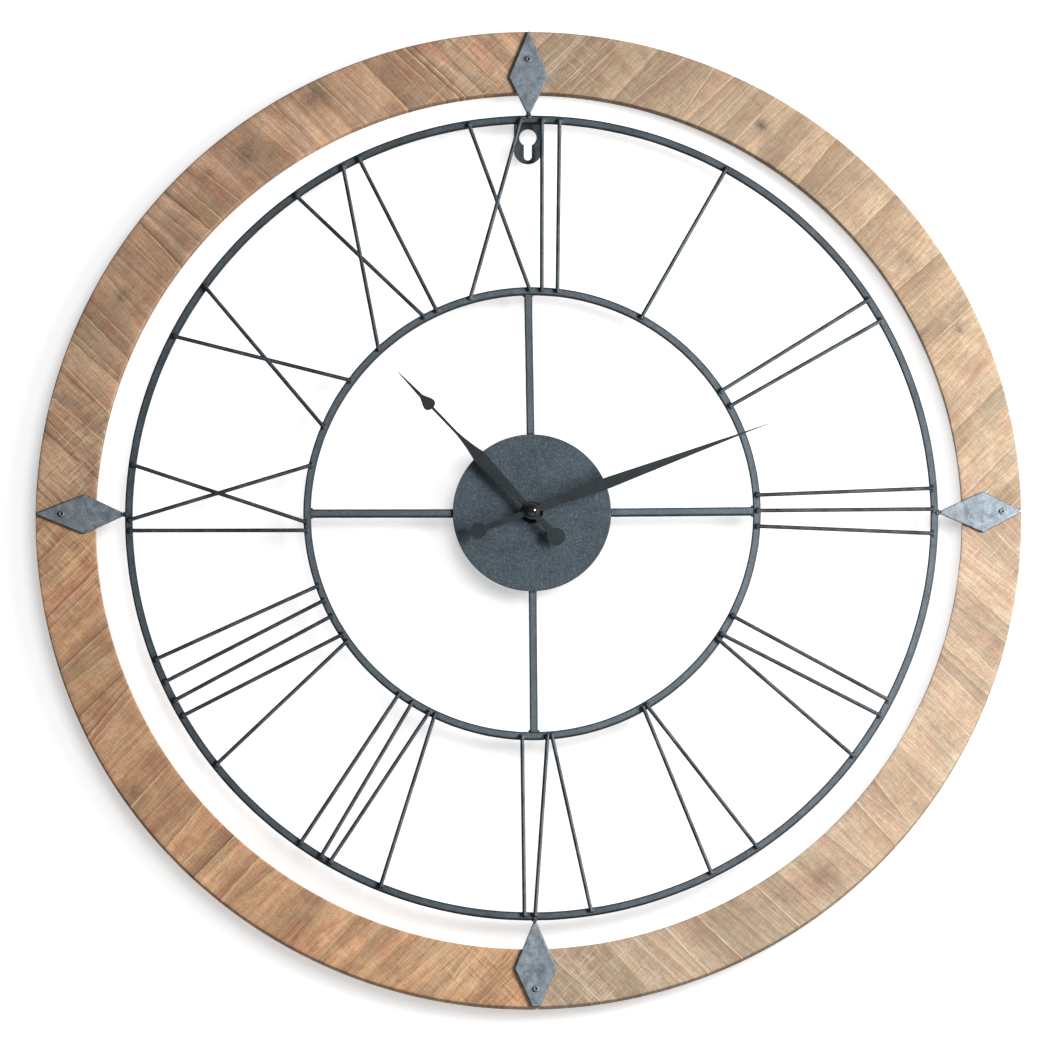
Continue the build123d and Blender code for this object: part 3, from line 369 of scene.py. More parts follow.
def rubber():
    """Matt black rubber with a bloom."""
    paint = Paint("rubber", Specular_IOR_Level=0.3)
    bloom = paint.noise(300, 4, 0.7)
    paint.feed("Base Color", paint.mix(paint.fit(bloom, 0.4, 0.7), colour("141414"), colour("2b2c2c")))
    paint.feed("Roughness", paint.fit(bloom, 0.3, 0.7, 0.72, 0.92))
    paint.bump(bloom, 0.05 * MM)
    return paint.material


def magnet():
    """Dark sintered ferrite: grains and small pits."""
    paint = Paint("magnet", Metallic=0.3)
    grains = paint.cells(2600)
    base = paint.mix(paint.fit(grains, 0.2, 0.7), colour("4c4c4f"), colour("2a2a2c"))
    paint.feed("Base Color", base)
    paint.feed("Roughness", paint.fit(grains, 0.2, 0.7, 0.45, 0.62))
    paint.bump(grains, 0.03 * MM)
    return paint.material


def copper_wire():
    """A coil of enamelled copper wire: turns that run round the coil's length."""
    paint = Paint("copper_wire", Metallic=0.85)
    inputs = {"Vector": paint.place, "Scale": 1200.0, "Distortion": 0.3, "Detail": 1.0}
    turns = paint.node("TexWave", inputs, bands_direction="X").outputs["Fac"]
    tarnish = paint.noise(500, 3, 0.6)
    base = paint.mix(turns, colour("5e2a12"), colour("c9743c"))
    paint.feed("Base Color", paint.shaded(base, tarnish, 0.12))
    paint.feed("Roughness", paint.fit(tarnish, 0.3, 0.7, 0.25, 0.42))
    paint.bump(turns, 0.12 * MM)
    return paint.material


def battery_sleeve():
    """A plain two-colour shrink sleeve, with the bare steel can and terminal at its ends."""
    low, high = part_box("battery")
    length = high.x - low.x
    paint = Paint("battery_sleeve")
    along = paint.node("SeparateXYZ", {"Vector": paint.place}).outputs["X"]
    share = paint.fit(along, low.x, high.x)
    scuffs = paint.noise((120, 700, 700), 3, 0.7)
    wrap = paint.mix(paint.maths("GREATER_THAN", share, 0.72), colour("20262b"), colour("a8702f"))
    wrap = paint.shaded(wrap, scuffs, 0.10)
    bare_front = paint.maths("GREATER_THAN", share, 1 - 1.6 * MM / length)
    bare_back = paint.maths("LESS_THAN", share, 0.7 * MM / length)
    bare = paint.maths("MAXIMUM", bare_front, bare_back)
    paint.feed("Base Color", paint.mix(bare, wrap, colour("c4c6c8")))
    paint.feed("Metallic", bare)
    paint.feed("Roughness", paint.fit(scuffs, 0.3, 0.7, 0.22, 0.38))
    paint.bump(scuffs, 0.02 * MM)
    return paint.material


def board_green():
    """Circuit board: solder resist over copper tracks, with a drop of black resin on the chip."""
    low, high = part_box("circuit_board")
    paint = Paint("board_green", Specular_IOR_Level=0.5)
    turned = {"Vector": paint.place, "Rotation": (math.radians(90), 0, 0)}
    upright = paint.node("Mapping", turned).outputs[0]
    inputs = {"Vector": upright, "Scale": 260.0, "Mortar Size": 0.06}
    tracks = paint.node("TexBrick", inputs).outputs["Fac"]
    weave = paint.noise(1500, 2, 0.6)
    base = paint.mix(tracks, colour("0d3b1f"), colour("2f7a45"))
    base = paint.shaded(base, weave, 0.12)
    depth = paint.node("SeparateXYZ", {"Vector": paint.place}).outputs["Y"]
    resin = paint.maths("LESS_THAN", depth, (low.y * 0.52 + high.y * 0.48))
    paint.feed("Base Color", paint.mix(resin, base, colour("101011")))
    paint.feed("Roughness", paint.fit(weave, 0.3, 0.7, 0.28, 0.42))
    paint.bump(tracks, 0.04 * MM)
    return paint.material


def dowel_wood():
    """Turned beech dowel: short flecks along the grain."""
    paint = Paint("dowel_wood", Specular_IOR_Level=0.3)
    flecks = paint.noise(700, 3, 0.7, 0.4)
    grain = paint.noise((90, 900, 90), 3, 0.6)
    base = paint.mix(paint.fit(flecks, 0.55, 0.7), colour("d8b98c"), colour("a97f52"))
    paint.feed("Base Color", paint.shaded(base, grain, 0.10))
    paint.feed("Roughness", paint.fit(grain, 0.3, 0.7, 0.6, 0.75))
    paint.bump(grain, 0.08 * MM)
    return paint.material


FINISHES = {
    "iron_bar": lambda: iron("iron_bar", colour("33393d"), colour("495156"), colour("5a656b"), 0.58),
    "iron_disc": lambda: powder_coat("iron_disc", colour("303a41"), 0.46, 0.20),
    "hammered_iron": hammered_iron,
    "black_hand": lambda: powder_coat("black_hand", colour("10191c"), 0.52, 0.06),
    "gloss_black": gloss_black,
    "black_plastic": lambda: moulded_plastic("black_plastic", colour("1b1c1d"), 0.45),
    "white_plastic": lambda: moulded_plastic("white_plastic", colour("e4e2d8"), 0.40),
    "brass": lambda: turned_metal("brass", colour("d2aa5e"), 0.26),
    "bright_steel": lambda: turned_metal("bright_steel", colour("c3c5c8"), 0.24),
    "blackened_steel": lambda: turned_metal("blackened_steel", colour("3a3c3e"), 0.30),
    "magnet": magnet,
    "rubber": rubber,
    "copper_wire": copper_wire,
    "battery_sleeve": battery_sleeve,
    "board_green": board_green,
    "crystal_can": lambda: brushed_steel("crystal_can", colour("cfd1d4"), 0.20, (1500, 1500, 60)),
    "dowel_wood": dowel_wood,
}


# ---------------------------------------------------------------- mesh helpers

def solid_piece(name, points, faces, values=None, sharp=35):
    """An object from points and faces, smooth but for its sharp edges, with values at its points."""
    mesh = bpy.data.meshes.new(name)
    mesh.from_pydata(points, [], faces)
    for attribute, numbers in (values or {}).items():
        if isinstance(numbers[0], tuple):
            layer = mesh.attributes.new(attribute, "FLOAT_VECTOR", "POINT")
            layer.data.foreach_set("vector", [number for place in numbers for number in place])
        else:
            layer = mesh.attributes.new(attribute, "FLOAT", "POINT")
            layer.data.foreach_set("value", numbers)
    outward = bmesh.new()
    outward.from_mesh(mesh)
    bmesh.ops.recalc_face_normals(outward, faces=outward.faces)
    outward.to_mesh(mesh)
    outward.free()
    mesh.shade_smooth()
    mesh.set_sharp_from_angle(angle=math.radians(sharp))
    piece = bpy.data.objects.new(name, mesh)
    bpy.context.scene.collection.objects.link(piece)
    return piece


def slab_faces(columns, rows):
    """Faces of a closed slab: a front grid of columns and rows, the same grid behind it, and the rim."""
    behind = columns * rows
    faces = []
    for column in range(columns - 1):
        for row in range(rows - 1):
            corner = column * rows + row
            quad = (corner, corner + 1, corner + rows + 1, corner + rows)
            faces.append(quad)
            faces.append(tuple(behind + index for index in reversed(quad)))
    last = (columns - 1) * rows
    rim = [column * rows for column in range(columns)]
    rim += [last + row for row in range(1, rows)]
    rim += [column * rows + rows - 1 for column in range(columns - 2, -1, -1)]
    rim += list(range(rows - 2, 0, -1))
    for start, end in zip(rim, rim[1:] + rim[:1]):
        faces.append((start, end, behind + end, behind + start))
    return faces


def edge_rows(low, high, middle_rows):
    """Places from low to high, close together at both ends where the edges are eased."""
    span = high - low
    shrink = min(1.0, span / (4 * EDGE_STEPS[-1]))
    steps = [step * shrink for step in EDGE_STEPS]
    inner = span - 2 * steps[-1]
    middle = [low + steps[-1] + inner * (row + 1) / (middle_rows + 1) for row in range(middle_rows)]
    return [low + step for step in steps] + middle + [high - step for step in reversed(steps)]


def ease(reach, radius):
    """How far an eased edge drops at a distance from it."""
    if reach >= radius:
        return 0.0
    return radius - math.sqrt(radius**2 - (radius - reach) ** 2)


def solids_of(node):
    """The points of each separate solid of a CAD node."""
    copy = bmesh.new()
    copy.from_mesh(frame["nodes"][node].data)
    bmesh.ops.remove_doubles(copy, verts=copy.verts, dist=0.001 * MM)
    unseen = set(copy.verts)
    while unseen:
        queue = [unseen.pop()]
        solid = []
        while queue:
            vertex = queue.pop()
            solid.append(vertex.co[:])
            for edge in vertex.link_edges:
                other = edge.other_vert(vertex)
                if other in unseen:
                    unseen.remove(other)
                    queue.append(other)
        yield np.array(solid)
    copy.free()


# ---------------------------------------------------------------- oak boards

# The saw marks' dial angle and spacing, the colours and the seed of each board. Each knot is a dial angle,
# a distance from the bore in millimetres, a size in millimetres and a strength. Each worn patch is a dial
# angle, a reach in degrees and a strength. The arris shade weight sets how strongly painted shade darkens
# the board's outer arris.
BOARDS = {
    "upper_right": {
        "saw": 45.0,
        "spacing": 12 * MM,
        "pale": colour("b49d83"),
        "brown": colour("9a836b"),
        "red": colour("9f7d69"),
        "grey": colour("938a77"),
        "dark": colour("86694f"),
        "ridge": colour("cec0ad"),
        "knot": colour("4e443c"),
        "arris_shade_weight": 0.25,
        "bands": 0.75,
        "seed": 11,
        "knots": [(30.5, 22, 6, 1.0), (55.5, 22, 11, 0.45), (66.0, 30, 6, 0.8), (16.5, 22, 15, 0.25)],
        "worn": [(3.0, 11.0, 0.9), (80.0, 9.0, 0.5)],
    },
    "lower_right": {
        "saw": 134.0,
        "spacing": 14 * MM,
        "pale": colour("bba78d"),
        "brown": colour("a48b75"),
        "red": colour("b18e7c"),
        "grey": colour("a49b8a"),
        "dark": colour("8f7155"),
        "ridge": colour("dfd2be"),
        "knot": colour("7a6654"),
        "arris_shade_weight": 0.25,
        "bands": 0.70,
        "seed": 23,
        "knots": [(141.0, 26, 8, 0.55), (120.0, 35, 12, 0.18), (158.0, 20, 14, 0.22)],
        "worn": [(92.0, 7.0, 0.6), (173.0, 9.0, 0.9)],
    },
    "lower_left": {
        "saw": 225.0,
        "spacing": 12 * MM,
        "pale": colour("d5aa83"),
        "brown": colour("b68c6b"),
        "red": colour("ac6f5b"),
        "grey": colour("b4a081"),
        "dark": colour("6a4a38"),
        "ridge": colour("eac69b"),
        "knot": colour("5b463a"),
        "arris_shade_weight": 0.45,
        "bands": 0.95,
        "seed": 37,
        "knots": [(235.0, 38, 9, 0.60), (208.0, 24, 8, 0.35), (250.0, 32, 16, 0.25)],
        "worn": [(186.0, 9.0, 0.9), (266.0, 9.0, 1.0)],
    },
    "upper_left": {
        "saw": 315.0,
        "spacing": 10 * MM,
        "pale": colour("c6a284"),
        "brown": colour("a07f65"),
        "red": colour("a67360"),
        "grey": colour("a09582"),
        "dark": colour("5c4535"),
        "ridge": colour("e2c39b"),
        "knot": colour("4f443b"),
        "arris_shade_weight": 1.0,
        "bands": 0.95,
        "seed": 53,
        "knots": [
            (299.0, 26, 9, 0.75), (322.5, 26, 13, 0.75), (317.0, 33, 7, 0.45),
            (333.5, 36, 14, 0.70), (343.0, 35, 10, 0.45), (309.0, 10, 8, 0.45),
        ],
        "worn": [(277.0, 12.0, 1.0), (354.0, 9.0, 0.8)],
    },
}


def saw_marks(dice, low, high, spacing):
    """The saw marks across a board: each one's place, strength, depth of the band tone and painted shadow
    beside it, and lean.
    """
    marks = []
    place = low
    while place < high:
        bold = dice.random() < 0.4
        strength = dice.uniform(0.55, 1.0) if bold else dice.uniform(0.08, 0.4)
        marks.append((place, strength, dice.uniform(0.1, 1.0) * strength, dice.gauss(0, MARK_LEAN)))
        place += spacing * dice.uniform(0.3, 1.8)
    return marks


class Board:
    """One board of the ring, measured across its saw marks and along them from the wood's centre."""

    def __init__(self, name, looks):
        self.name = name
        self.looks = looks
        self.first, self.last = (angle - looks["saw"] for angle in BOARD_ANGLES[name])
        self.up = direction(looks["saw"])
        self.right = direction(looks["saw"] + 90)
        self.bore_up = -BORE_DROP * self.up.z
        self.bore_right = -BORE_DROP * self.right.z
        dice = random.Random(looks["seed"])
        self.low = WOOD_RADIUS * math.sin(math.radians(self.first))
        self.high = WOOD_RADIUS * math.sin(math.radians(self.last))
        self.marks = saw_marks(dice, self.low, self.high, looks["spacing"])
        self.steps = [dice.uniform(-BAND_STEP, 0) for _ in self.marks]
        self.shades = [dice.random() for _ in self.marks]
        self.knots = [self.knot_place(*knot) for knot in looks["knots"]]
        self.seed = looks["seed"] * 10.0

    def knot_place(self, angle, from_bore, size, strength):
        """A knot's place across and along the marks, with its size and strength."""
        turn = math.radians(angle - self.looks["saw"])
        reach = BORE_RADIUS + from_bore * MM
        return reach * math.sin(turn), reach * math.cos(turn), size * MM, strength

    def span(self, station):
        """Where the board starts and ends along a saw mark."""
        outer = math.sqrt(max(WOOD_RADIUS**2 - station**2, 0))
        cut = station / math.tan(math.radians(self.last if station > 0 else self.first))
        across = station - self.bore_right
        bore = self.bore_up + math.sqrt(max(BORE_RADIUS**2 - across**2, 0))
        return min(max(bore, cut), outer - 0.1 * MM), outer

    def stations(self):
        """Places across the marks: an even division, and five for each saw mark and the painted shadow
        beside it.
        """
        margin = 0.3 * MM
        low, high = self.low + margin, self.high - margin
        count = round((high - low) / BOARD_STATION)
        places = [low + (high - low) * i / count for i in range(count + 1)]
        for mark in self.marks:
            places += [mark[0] + RIDGE_HALF_WIDTH * share for share in (-1, 0, 1, 2, 3)]
        places = sorted(place for place in places if low <= place <= high)
        kept = places[:1]
        for place in places[1:]:
            if place - kept[-1] > 0.2 * RIDGE_HALF_WIDTH:
                kept.append(place)
        return kept

    def leaned(self, station, share):
        """Where a mark that crosses mid-board at a station lies at another share of its length."""
        lean = np.interp(station, [mark[0] for mark in self.marks], [mark[3] for mark in self.marks])
        taper = min(1.0, (station - self.low) / LEAN_TAPER, (self.high - station) / LEAN_TAPER)
        sway = MARK_SWAY * self.wave(station, share, 12)
        return station + max(taper, 0) * (lean * (share - 0.5) + sway)

    def band(self, station):
        """The nearest mark at or before a station, and how far the station lies through its band."""
        index = max((i for i, mark in enumerate(self.marks) if mark[0] <= station), default=0)
        start = self.marks[index][0]
        end = self.marks[index + 1][0] if index + 1 < len(self.marks) else self.high
        return index, min(max((station - start) / (end - start), 0), 1)

    def wave(self, station, rise, scale):
        """Smooth seeded noise from -1 to 1 on the board."""
        return noise.noise(Vector((station * scale, rise * scale, self.seed)))

    def ridge(self, station):
        """Strength of the raised saw mark at a station, from 0 to 1."""
        return max(
            strength * max(0.0, 1 - abs(station - place) / RIDGE_HALF_WIDTH)
            for place, strength, _, _ in self.marks
        )

    def groove(self, station):
        """Strength of the painted shadow beside a saw mark's raised ridge."""
        return max(
            depth * max(0.0, 1 - abs(station - place - 2 * RIDGE_HALF_WIDTH) / RIDGE_HALF_WIDTH)
            for place, _, depth, _ in self.marks
        )

    def knot(self, station, rise):
        """Strength of the knots at a point."""
        total = 0.0
        for across, up, size, strength in self.knots:
            stray = 0.35 * self.wave(station, rise, 130)
            away = math.hypot(station - across, (rise - up) * 1.4) / size + stray
            total += strength * math.exp(-away * abs(away))
        return min(total, 1.0)

    def worn(self, station, rise):
        """Strength of the cross-scratches near the board's ends."""
        angle = self.looks["saw"] + math.degrees(math.atan2(station, rise))
        return min(1.0, sum(
            strength * math.exp(-((angle - centre) / reach) ** 2)
            for centre, reach, strength in self.looks["worn"]
        ))

    def build(self):
        """The board as one closed slab with its relief, riding on the frame."""
        points = []
        front = {name: [] for name in ("ridge", "groove", "band", "shade", "knot", "worn", "burnt")}
        grain = []
        stations = self.stations()
        for station in stations:
            low, high = self.span(station)
            shares = [(rise - low) / (high - low) for rise in edge_rows(low, high, BOARD_ROWS)]
            index, through = self.band(station)
            crest, groove = self.ridge(station), self.groove(station)
            for share in shares:
                across = self.leaned(station, share)
                low, high = self.span(across)
                rise = low + share * (high - low)
                margin = min(rise - low, high - rise)
                height = crest * (0.75 + 0.35 * self.wave(across, rise, 90))
                relief = RIDGE_HEIGHT * height + self.steps[index] + 0.08 * MM * self.wave(across, rise, 25)
                eased = ease(margin, BOARD_EASE * (1 + 0.5 * self.wave(across, rise, 60)))
                place = WOOD_CENTRE + self.right * across + self.up * rise
                points.append((place.x, max(WOOD_FRONT + BOARD_SINK - relief + eased, WOOD_FRONT), place.z))
                grain.append((station + self.seed, 0.0, rise))
                front["ridge"].append(crest)
                # Painted shadow beside the raised saw ridge.
                front["groove"].append(groove)
                front["band"].append(self.looks["bands"] * self.marks[index][2] * (1 - through) ** 1.3)
                front["shade"].append(self.shades[index])
                front["knot"].append(self.knot(across, rise))
                front["worn"].append(self.worn(across, rise))
                # Painted shade on the outer arris, weighted per board: heavy on the left boards, light on
                # the right.
                front["burnt"].append(self.looks["arris_shade_weight"] * max(0.0, 1 - (high - rise) / EDGE_STEPS[-1]))
        rows = len(points) // len(stations)
        behind = [(x, WOOD_BACK, z) for x, _, z in points]
        values = {name: numbers + numbers for name, numbers in front.items()}
        values["grain"] = grain + [(across, WOOD_BACK - WOOD_FRONT, rise) for across, _, rise in grain]
        piece = solid_piece(f"oak_{self.name}", points + behind, slab_faces(len(stations), rows), values)
        piece.data.materials.append(oak(f"oak_{self.name}", self.looks))
        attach(piece, "frame")
        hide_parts(f"wood_board_{self.name}")


for board_name, board_looks in BOARDS.items():
    Board(board_name, board_looks).build()


# ---------------------------------------------------------------- materials of the CAD nodes

materials = {}


def finish(slot):
    """The one material of a slot, made when it is first asked for."""
    if slot not in materials:
        materials[slot] = FINISHES[slot]()
    return materials[slot]


for subpart in record["subparts"]:
    if subpart["material_slot"] in FINISHES:
        for material_slot in frame["nodes"][subpart["node"]].material_slots:
            material_slot.material = finish(subpart["material_slot"])


# ---------------------------------------------------------------- forged rings and spokes

def bar_section(half_width, front, back):
    """The outline of a flat bar with rounded arrises: across, depth and the weight of painted shade, full
    round the arrises, sides and back and none on the front face.
    """
    outline = []
    for side, depth, turn in ((1, front, 0), (1, back, 90), (-1, back, 180), (-1, front, 270)):
        centre_across = side * (half_width - ARRIS)
        centre_depth = depth + (ARRIS if depth == front else -ARRIS)
        for step in range(ARRIS_STEPS + 1):
            angle = math.radians(turn + 90 * step / ARRIS_STEPS)
            across = centre_across + ARRIS * math.sin(angle)
            outline.append((across, centre_depth - ARRIS * math.cos(angle), 1.0))
    inside = half_width - 2.2 * ARRIS
    for share in (-1, -0.5, 0, 0.5, 1):
        outline.append((inside * share, front, 0.0))
    return outline


def forged_bar(name, node, stations, section, closed, scale):
    """A dented flat bar swept along stations, each a place and its sideways direction."""
    points, arris_shades = [], []
    for place, side in stations:
        for across, depth, edge in section:
            spot = place + side * across
            dent = FORGED_DENT * (0.5 + 0.5 * noise.noise(Vector((spot.x, depth * 2, spot.z)) * 90))
            shrink = 1 - dent / max(abs(across), 3 * dent)
            spot = place + side * across * shrink
            points.append((spot.x, depth + (dent if depth < section_middle(section) else 0), spot.z))
            arris_shades.append(edge)
    rows = len(section)
    faces = []
    for station in range(len(stations) if closed else len(stations) - 1):
        start, following = station * rows, (station + 1) % len(stations) * rows
        for row in range(rows):
            after = (row + 1) % rows
            faces.append((start + row, start + after, following + after, following + row))
    if not closed:
        faces.append(tuple(range(rows)))
        faces.append(tuple(range(len(points) - rows, len(points))))
    # The edge values weight the painted shade on the bar's arrises, sides and back.
    values = {"edge": arris_shades, "scale": [scale] * len(points)}
    piece = solid_piece(name, points, faces, values, sharp=60)
    piece.data.materials.append(finish("iron_bar"))
    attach(piece, "frame")
    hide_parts(node)


def section_middle(section):
    """The depth half way through a bar's section."""
    depths = [depth for _, depth, _ in section]
    return (min(depths) + max(depths)) / 2


def forged_ring(node, scale):
    """One of the dial's rings, measured from its CAD node."""
    low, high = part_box(node)
    centre = (low + high) / 2
    radius = (high.x - low.x) / 2
    reaches = [math.hypot(v.co.x - centre.x, v.co.z - centre.z) for v in frame["nodes"][node].data.vertices]
    half_width = (radius - min(reaches)) / 2
    count = round(math.tau * radius / RING_STATION)
    stations = []
    for index in range(count):
        out = direction(360 * index / count)
        stations.append((centre + out * (radius - half_width), out))
    forged_bar(f"forged_{node}", node, stations, bar_section(half_width, low.y, high.y), True, scale)


def forged_spoke(name, angle):
    """One of the dial's spokes, measured from its CAD node."""
    node = f"spoke_{name}"
    low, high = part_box(node)
    out, side = direction(angle), direction(angle + 90)
    offsets = [vertex.co - HUB for vertex in frame["nodes"][node].data.vertices]
    reaches = [offset.dot(out) for offset in offsets]
    half_width = max(abs(offset.dot(side)) for offset in offsets)
    length = max(reaches) - min(reaches)
    count = round(length / RING_STATION)
    stations = [(HUB + out * (min(reaches) + length * i / count), side) for i in range(count + 1)]
    forged_bar(f"forged_{node}", node, stations, bar_section(half_width, low.y, high.y), False, 1.0)


forged_ring("outer_ring", 0.55)
forged_ring("inner_ring", 1.0)
for spoke_name, spoke_angle in SPOKE_ANGLES.items():
    forged_spoke(spoke_name, spoke_angle)


# ---------------------------------------------------------------- hammered diamonds

def hammered_height(place, seed):
    """Depth of the hammer dents at a point on a plate: overlapping shallow bowls."""
    bowls = noise.voronoi(Vector((place.x, place.z, 0)) * 260 + Vector((seed, 0, 0)))[0]
    coarse = noise.noise(Vector((place.x, place.z, seed)) * 120)
    return HAMMER_DEPTH * (0.5 * (1 - min(bowls[0], 1)) + 0.35 * (coarse + 1) / 2)


def diamond(name, angle, seed):
    """A forged diamond plate over its CAD outline, with hammer dents, eased edges, and painted shade along
    its edges and over its back.
    """
    out, side = direction(angle), direction(angle + 90)
    corners = [
        ((vertex.co - WOOD_CENTRE).dot(out), abs((vertex.co - WOOD_CENTRE).dot(side)))
        for vertex in frame["nodes"][f"diamond_{name}"].data.vertices
    ]
    start, end = min(corners)[0], max(corners)[0]
    waist, half = max(corners, key=lambda corner: corner[1])
    tips = [max(w for reach, w in corners if abs(reach - tip) < 0.2 * MM) for tip in (start, end)]
    low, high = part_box(f"diamond_{name}")
    count = round((end - start) / DIAMOND_STATION)
    points, arris_shades = [], []
    for index in range(count + 1):
        reach = start + (end - start) * index / count
        if reach < waist:
            width = tips[0] + (half - tips[0]) * (reach - start) / (waist - start)
        else:
            width = half + (tips[1] - half) * (reach - waist) / (end - waist)
        end_margin = min(reach - start, end - reach)
        for across in edge_rows(-width, width, DIAMOND_ROWS):
            margin = min(width - abs(across), end_margin)
            place = WOOD_CENTRE + out * reach + side * across
            drop = ease(margin, DIAMOND_EASE) + hammered_height(place, seed)
            points.append((place.x, low.y + min(drop, 0.9 * (high.y - low.y)), place.z))
            # Painted shade, strongest at the plate's edge.
            arris_shades.append(max(0.0, 1 - margin / (0.8 * MM)))
    rows = len(points) // (count + 1)
    behind = [(x, high.y, z) for x, _, z in points]
    # The back of the plate gets full painted shade.
    values = {"edge": arris_shades + [1.0] * len(arris_shades)}
    piece = solid_piece(f"forged_diamond_{name}", points + behind, slab_faces(count + 1, rows), values)
    piece.data.materials.append(finish("hammered_iron"))
    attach(piece, "frame")
    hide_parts(f"diamond_{name}")
    return WOOD_CENTRE + out * start


diamond_tips = {
    name: diamond(name, angle, seed)
    for seed, (name, angle) in enumerate(DIAMOND_ANGLES.items())
}


# ---------------------------------------------------------------- nails

NAIL_PROFILE = (
    (1.0, 0.0), (0.97, 0.35), (0.86, 0.75), (0.70, 0.97),
    (0.55, 1.0), (0.44, 0.85), (0.34, 0.45), (0.20, 0.30),
)


def nails():
    """The four nail heads, each a dome with a punched hollow, as one piece, with painted shade in the
    hollow and round the rim.
    """
    points, faces, hollow_and_rim_shades = [], [], []
    for solid in solids_of("diamond_nails"):
        centre = solid.mean(0)
        head = solid[:, 1].min()
        reach = np.hypot(solid[:, 0] - centre[0], solid[:, 2] - centre[2])
        radius = reach.max()
        seat = solid[reach > 0.98 * radius][:, 1].max()
        start = len(points)
        for share, rise in NAIL_PROFILE:
            for step in range(NAIL_TURNS):
                out = direction(360 * step / NAIL_TURNS)
                spot = Vector((centre[0], 0, centre[2])) + out * radius * share
                points.append((spot.x, seat - (seat - head) * rise, spot.z))
                # Painted shade in the punched hollow and round the rim.
                hollow_and_rim_shades.append(1.0 if share < 0.5 or share > 0.9 else 0.0)
        for ring in range(len(NAIL_PROFILE) - 1):
            for step in range(NAIL_TURNS):
                after = (step + 1) % NAIL_TURNS
                here, above = start + ring * NAIL_TURNS, start + (ring + 1) * NAIL_TURNS
                faces.append((here + step, here + after, above + after, above + step))
        faces.append(tuple(start + step for step in range(NAIL_TURNS)))
        faces.append(tuple(len(points) - NAIL_TURNS + step for step in range(NAIL_TURNS)))
    piece = solid_piece("nail_heads", points, faces, {"edge": hollow_and_rim_shades}, sharp=60)
    piece.data.materials.append(finish("hammered_iron"))
    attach(piece, "frame")
    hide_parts("diamond_nails")


nails()


# ---------------------------------------------------------------- weld beads

def rod_ends(solid):
    """The two ends of a rod's centre line, from the points of its solid."""
    middle = solid.mean(0)
    along = np.linalg.svd(solid - middle, full_matrices=False)[2][0]
    reaches = (solid - middle) @ along
    return [Vector(middle + along * reach) for reach in (reaches.min(), reaches.max())]


class Welds:
    """A run of weld beads, gathered into one piece."""

    def __init__(self, name, seed):
        self.name = name
        self.mesh = bmesh.new()
        self.dice = random.Random(seed)

    def bead(self, place, along, size):
        """A lump of weld metal: a ball stretched along a direction, with a rough skin."""
        across = along.cross(Vector((0, 1, 0))).normalized()
        scale = Matrix.Diagonal((*[value * self.dice.uniform(0.8, 1.2) for value in size], 1))
        turn = Matrix((along, across, (0, 1, 0))).transposed().to_4x4()
        ball = bmesh.ops.create_icosphere(
            self.mesh, subdivisions=3, radius=1.0, matrix=Matrix.Translation(place) @ turn @ scale
        )
        phase = self.dice.uniform(0, 100)
        for vertex in ball["verts"]:
            away = vertex.co - place
            swell = 1 + 0.22 * noise.noise(away * 900 + Vector((phase, 0, 0)))
            vertex.co = place + away * swell

    def finish(self):
        """The beads as one piece that rides on the frame."""
        mesh = bpy.data.meshes.new(self.name)
        self.mesh.to_mesh(mesh)
        self.mesh.free()
        mesh.shade_smooth()
        mesh.materials.append(finish("iron_bar"))
        piece = bpy.data.objects.new(self.name, mesh)
        bpy.context.scene.collection.objects.link(piece)
        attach(piece, "frame")


def weld_numeral(hour):
    """Beads at both ends of each rod of a numeral, one on each side of the rod and one at its tip."""
    node = f"numeral_{hour:02d}"
    welds = Welds(f"welds_{hour:02d}", hour)
    for solid in solids_of(node):
        start, end = rod_ends(solid)
        for tip, other in ((start, end), (end, start)):
            along = (other - tip).normalized()
            side = along.cross(Vector((0, 1, 0))).normalized()
            for lean in (-1, 1):
                place = tip + along * 0.9 * MM + side * lean * 1.5 * MM
                place.y = RING_FRONT + 0.1 * MM
                welds.bead(place, along, (BEAD_ALONG, BEAD_ACROSS, BEAD_HEIGHT))
            place = tip + along * 0.2 * MM
            place.y = RING_FRONT - 0.3 * MM
            welds.bead(place, along, (BEAD_ACROSS, BEAD_ALONG, 1.3 * BEAD_HEIGHT))
    welds.finish()


for hour in range(1, 13):
    weld_numeral(hour)


def weld_spokes():
    """Beads where the spokes meet the inner ring and where the disc crosses them."""
    welds = Welds("welds_spokes", 101)
    disc_low, disc_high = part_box("hub_disc")
    disc_radius = (disc_high.x - disc_low.x) / 2
    ring_low, ring_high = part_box("inner_ring")
    ring_bore = (ring_high.x - ring_low.x) / 2 - RING_FACE
    for angle in SPOKE_ANGLES.values():
        out, side = direction(angle), direction(angle + 90)
        for lean in (-1, 1):
            for reach, inset in ((disc_radius + 0.4 * MM, 1.6 * MM), (ring_bore - 0.6 * MM, 3.2 * MM)):
                place = HUB + out * reach + side * lean * inset
                place.y = RING_FRONT + (0.1 if reach < ring_bore / 2 else 1.2) * MM
                welds.bead(place, side, (1.6 * MM, 1.1 * MM, 0.8 * MM))
    welds.finish()


# Each lump's place out from the tip, place to the side, and size, in millimetres
DIAMOND_BEADS = ((-1.2, 0.2, 1.9), (0.4, -0.9, 1.4), (0.6, 1.0, 1.3), (2.2, 0.0, 1.2))


def weld_diamonds():
    """Lumps of weld that join the diamonds' inner tips to the outer ring."""
    welds = Welds("welds_diamonds", 202)
    for name, tip in diamond_tips.items():
        out = direction(DIAMOND_ANGLES[name])
        side = direction(DIAMOND_ANGLES[name] + 90)
        for reach, across, size in DIAMOND_BEADS:
            place = tip + out * reach * MM + side * across * MM
            place.y = RING_FRONT + (0.2 if reach < 0 else 0.5) * MM
            welds.bead(place, side, (size * MM, 0.8 * size * MM, 0.6 * size * MM))
    welds.finish()


weld_spokes()
weld_diamonds()


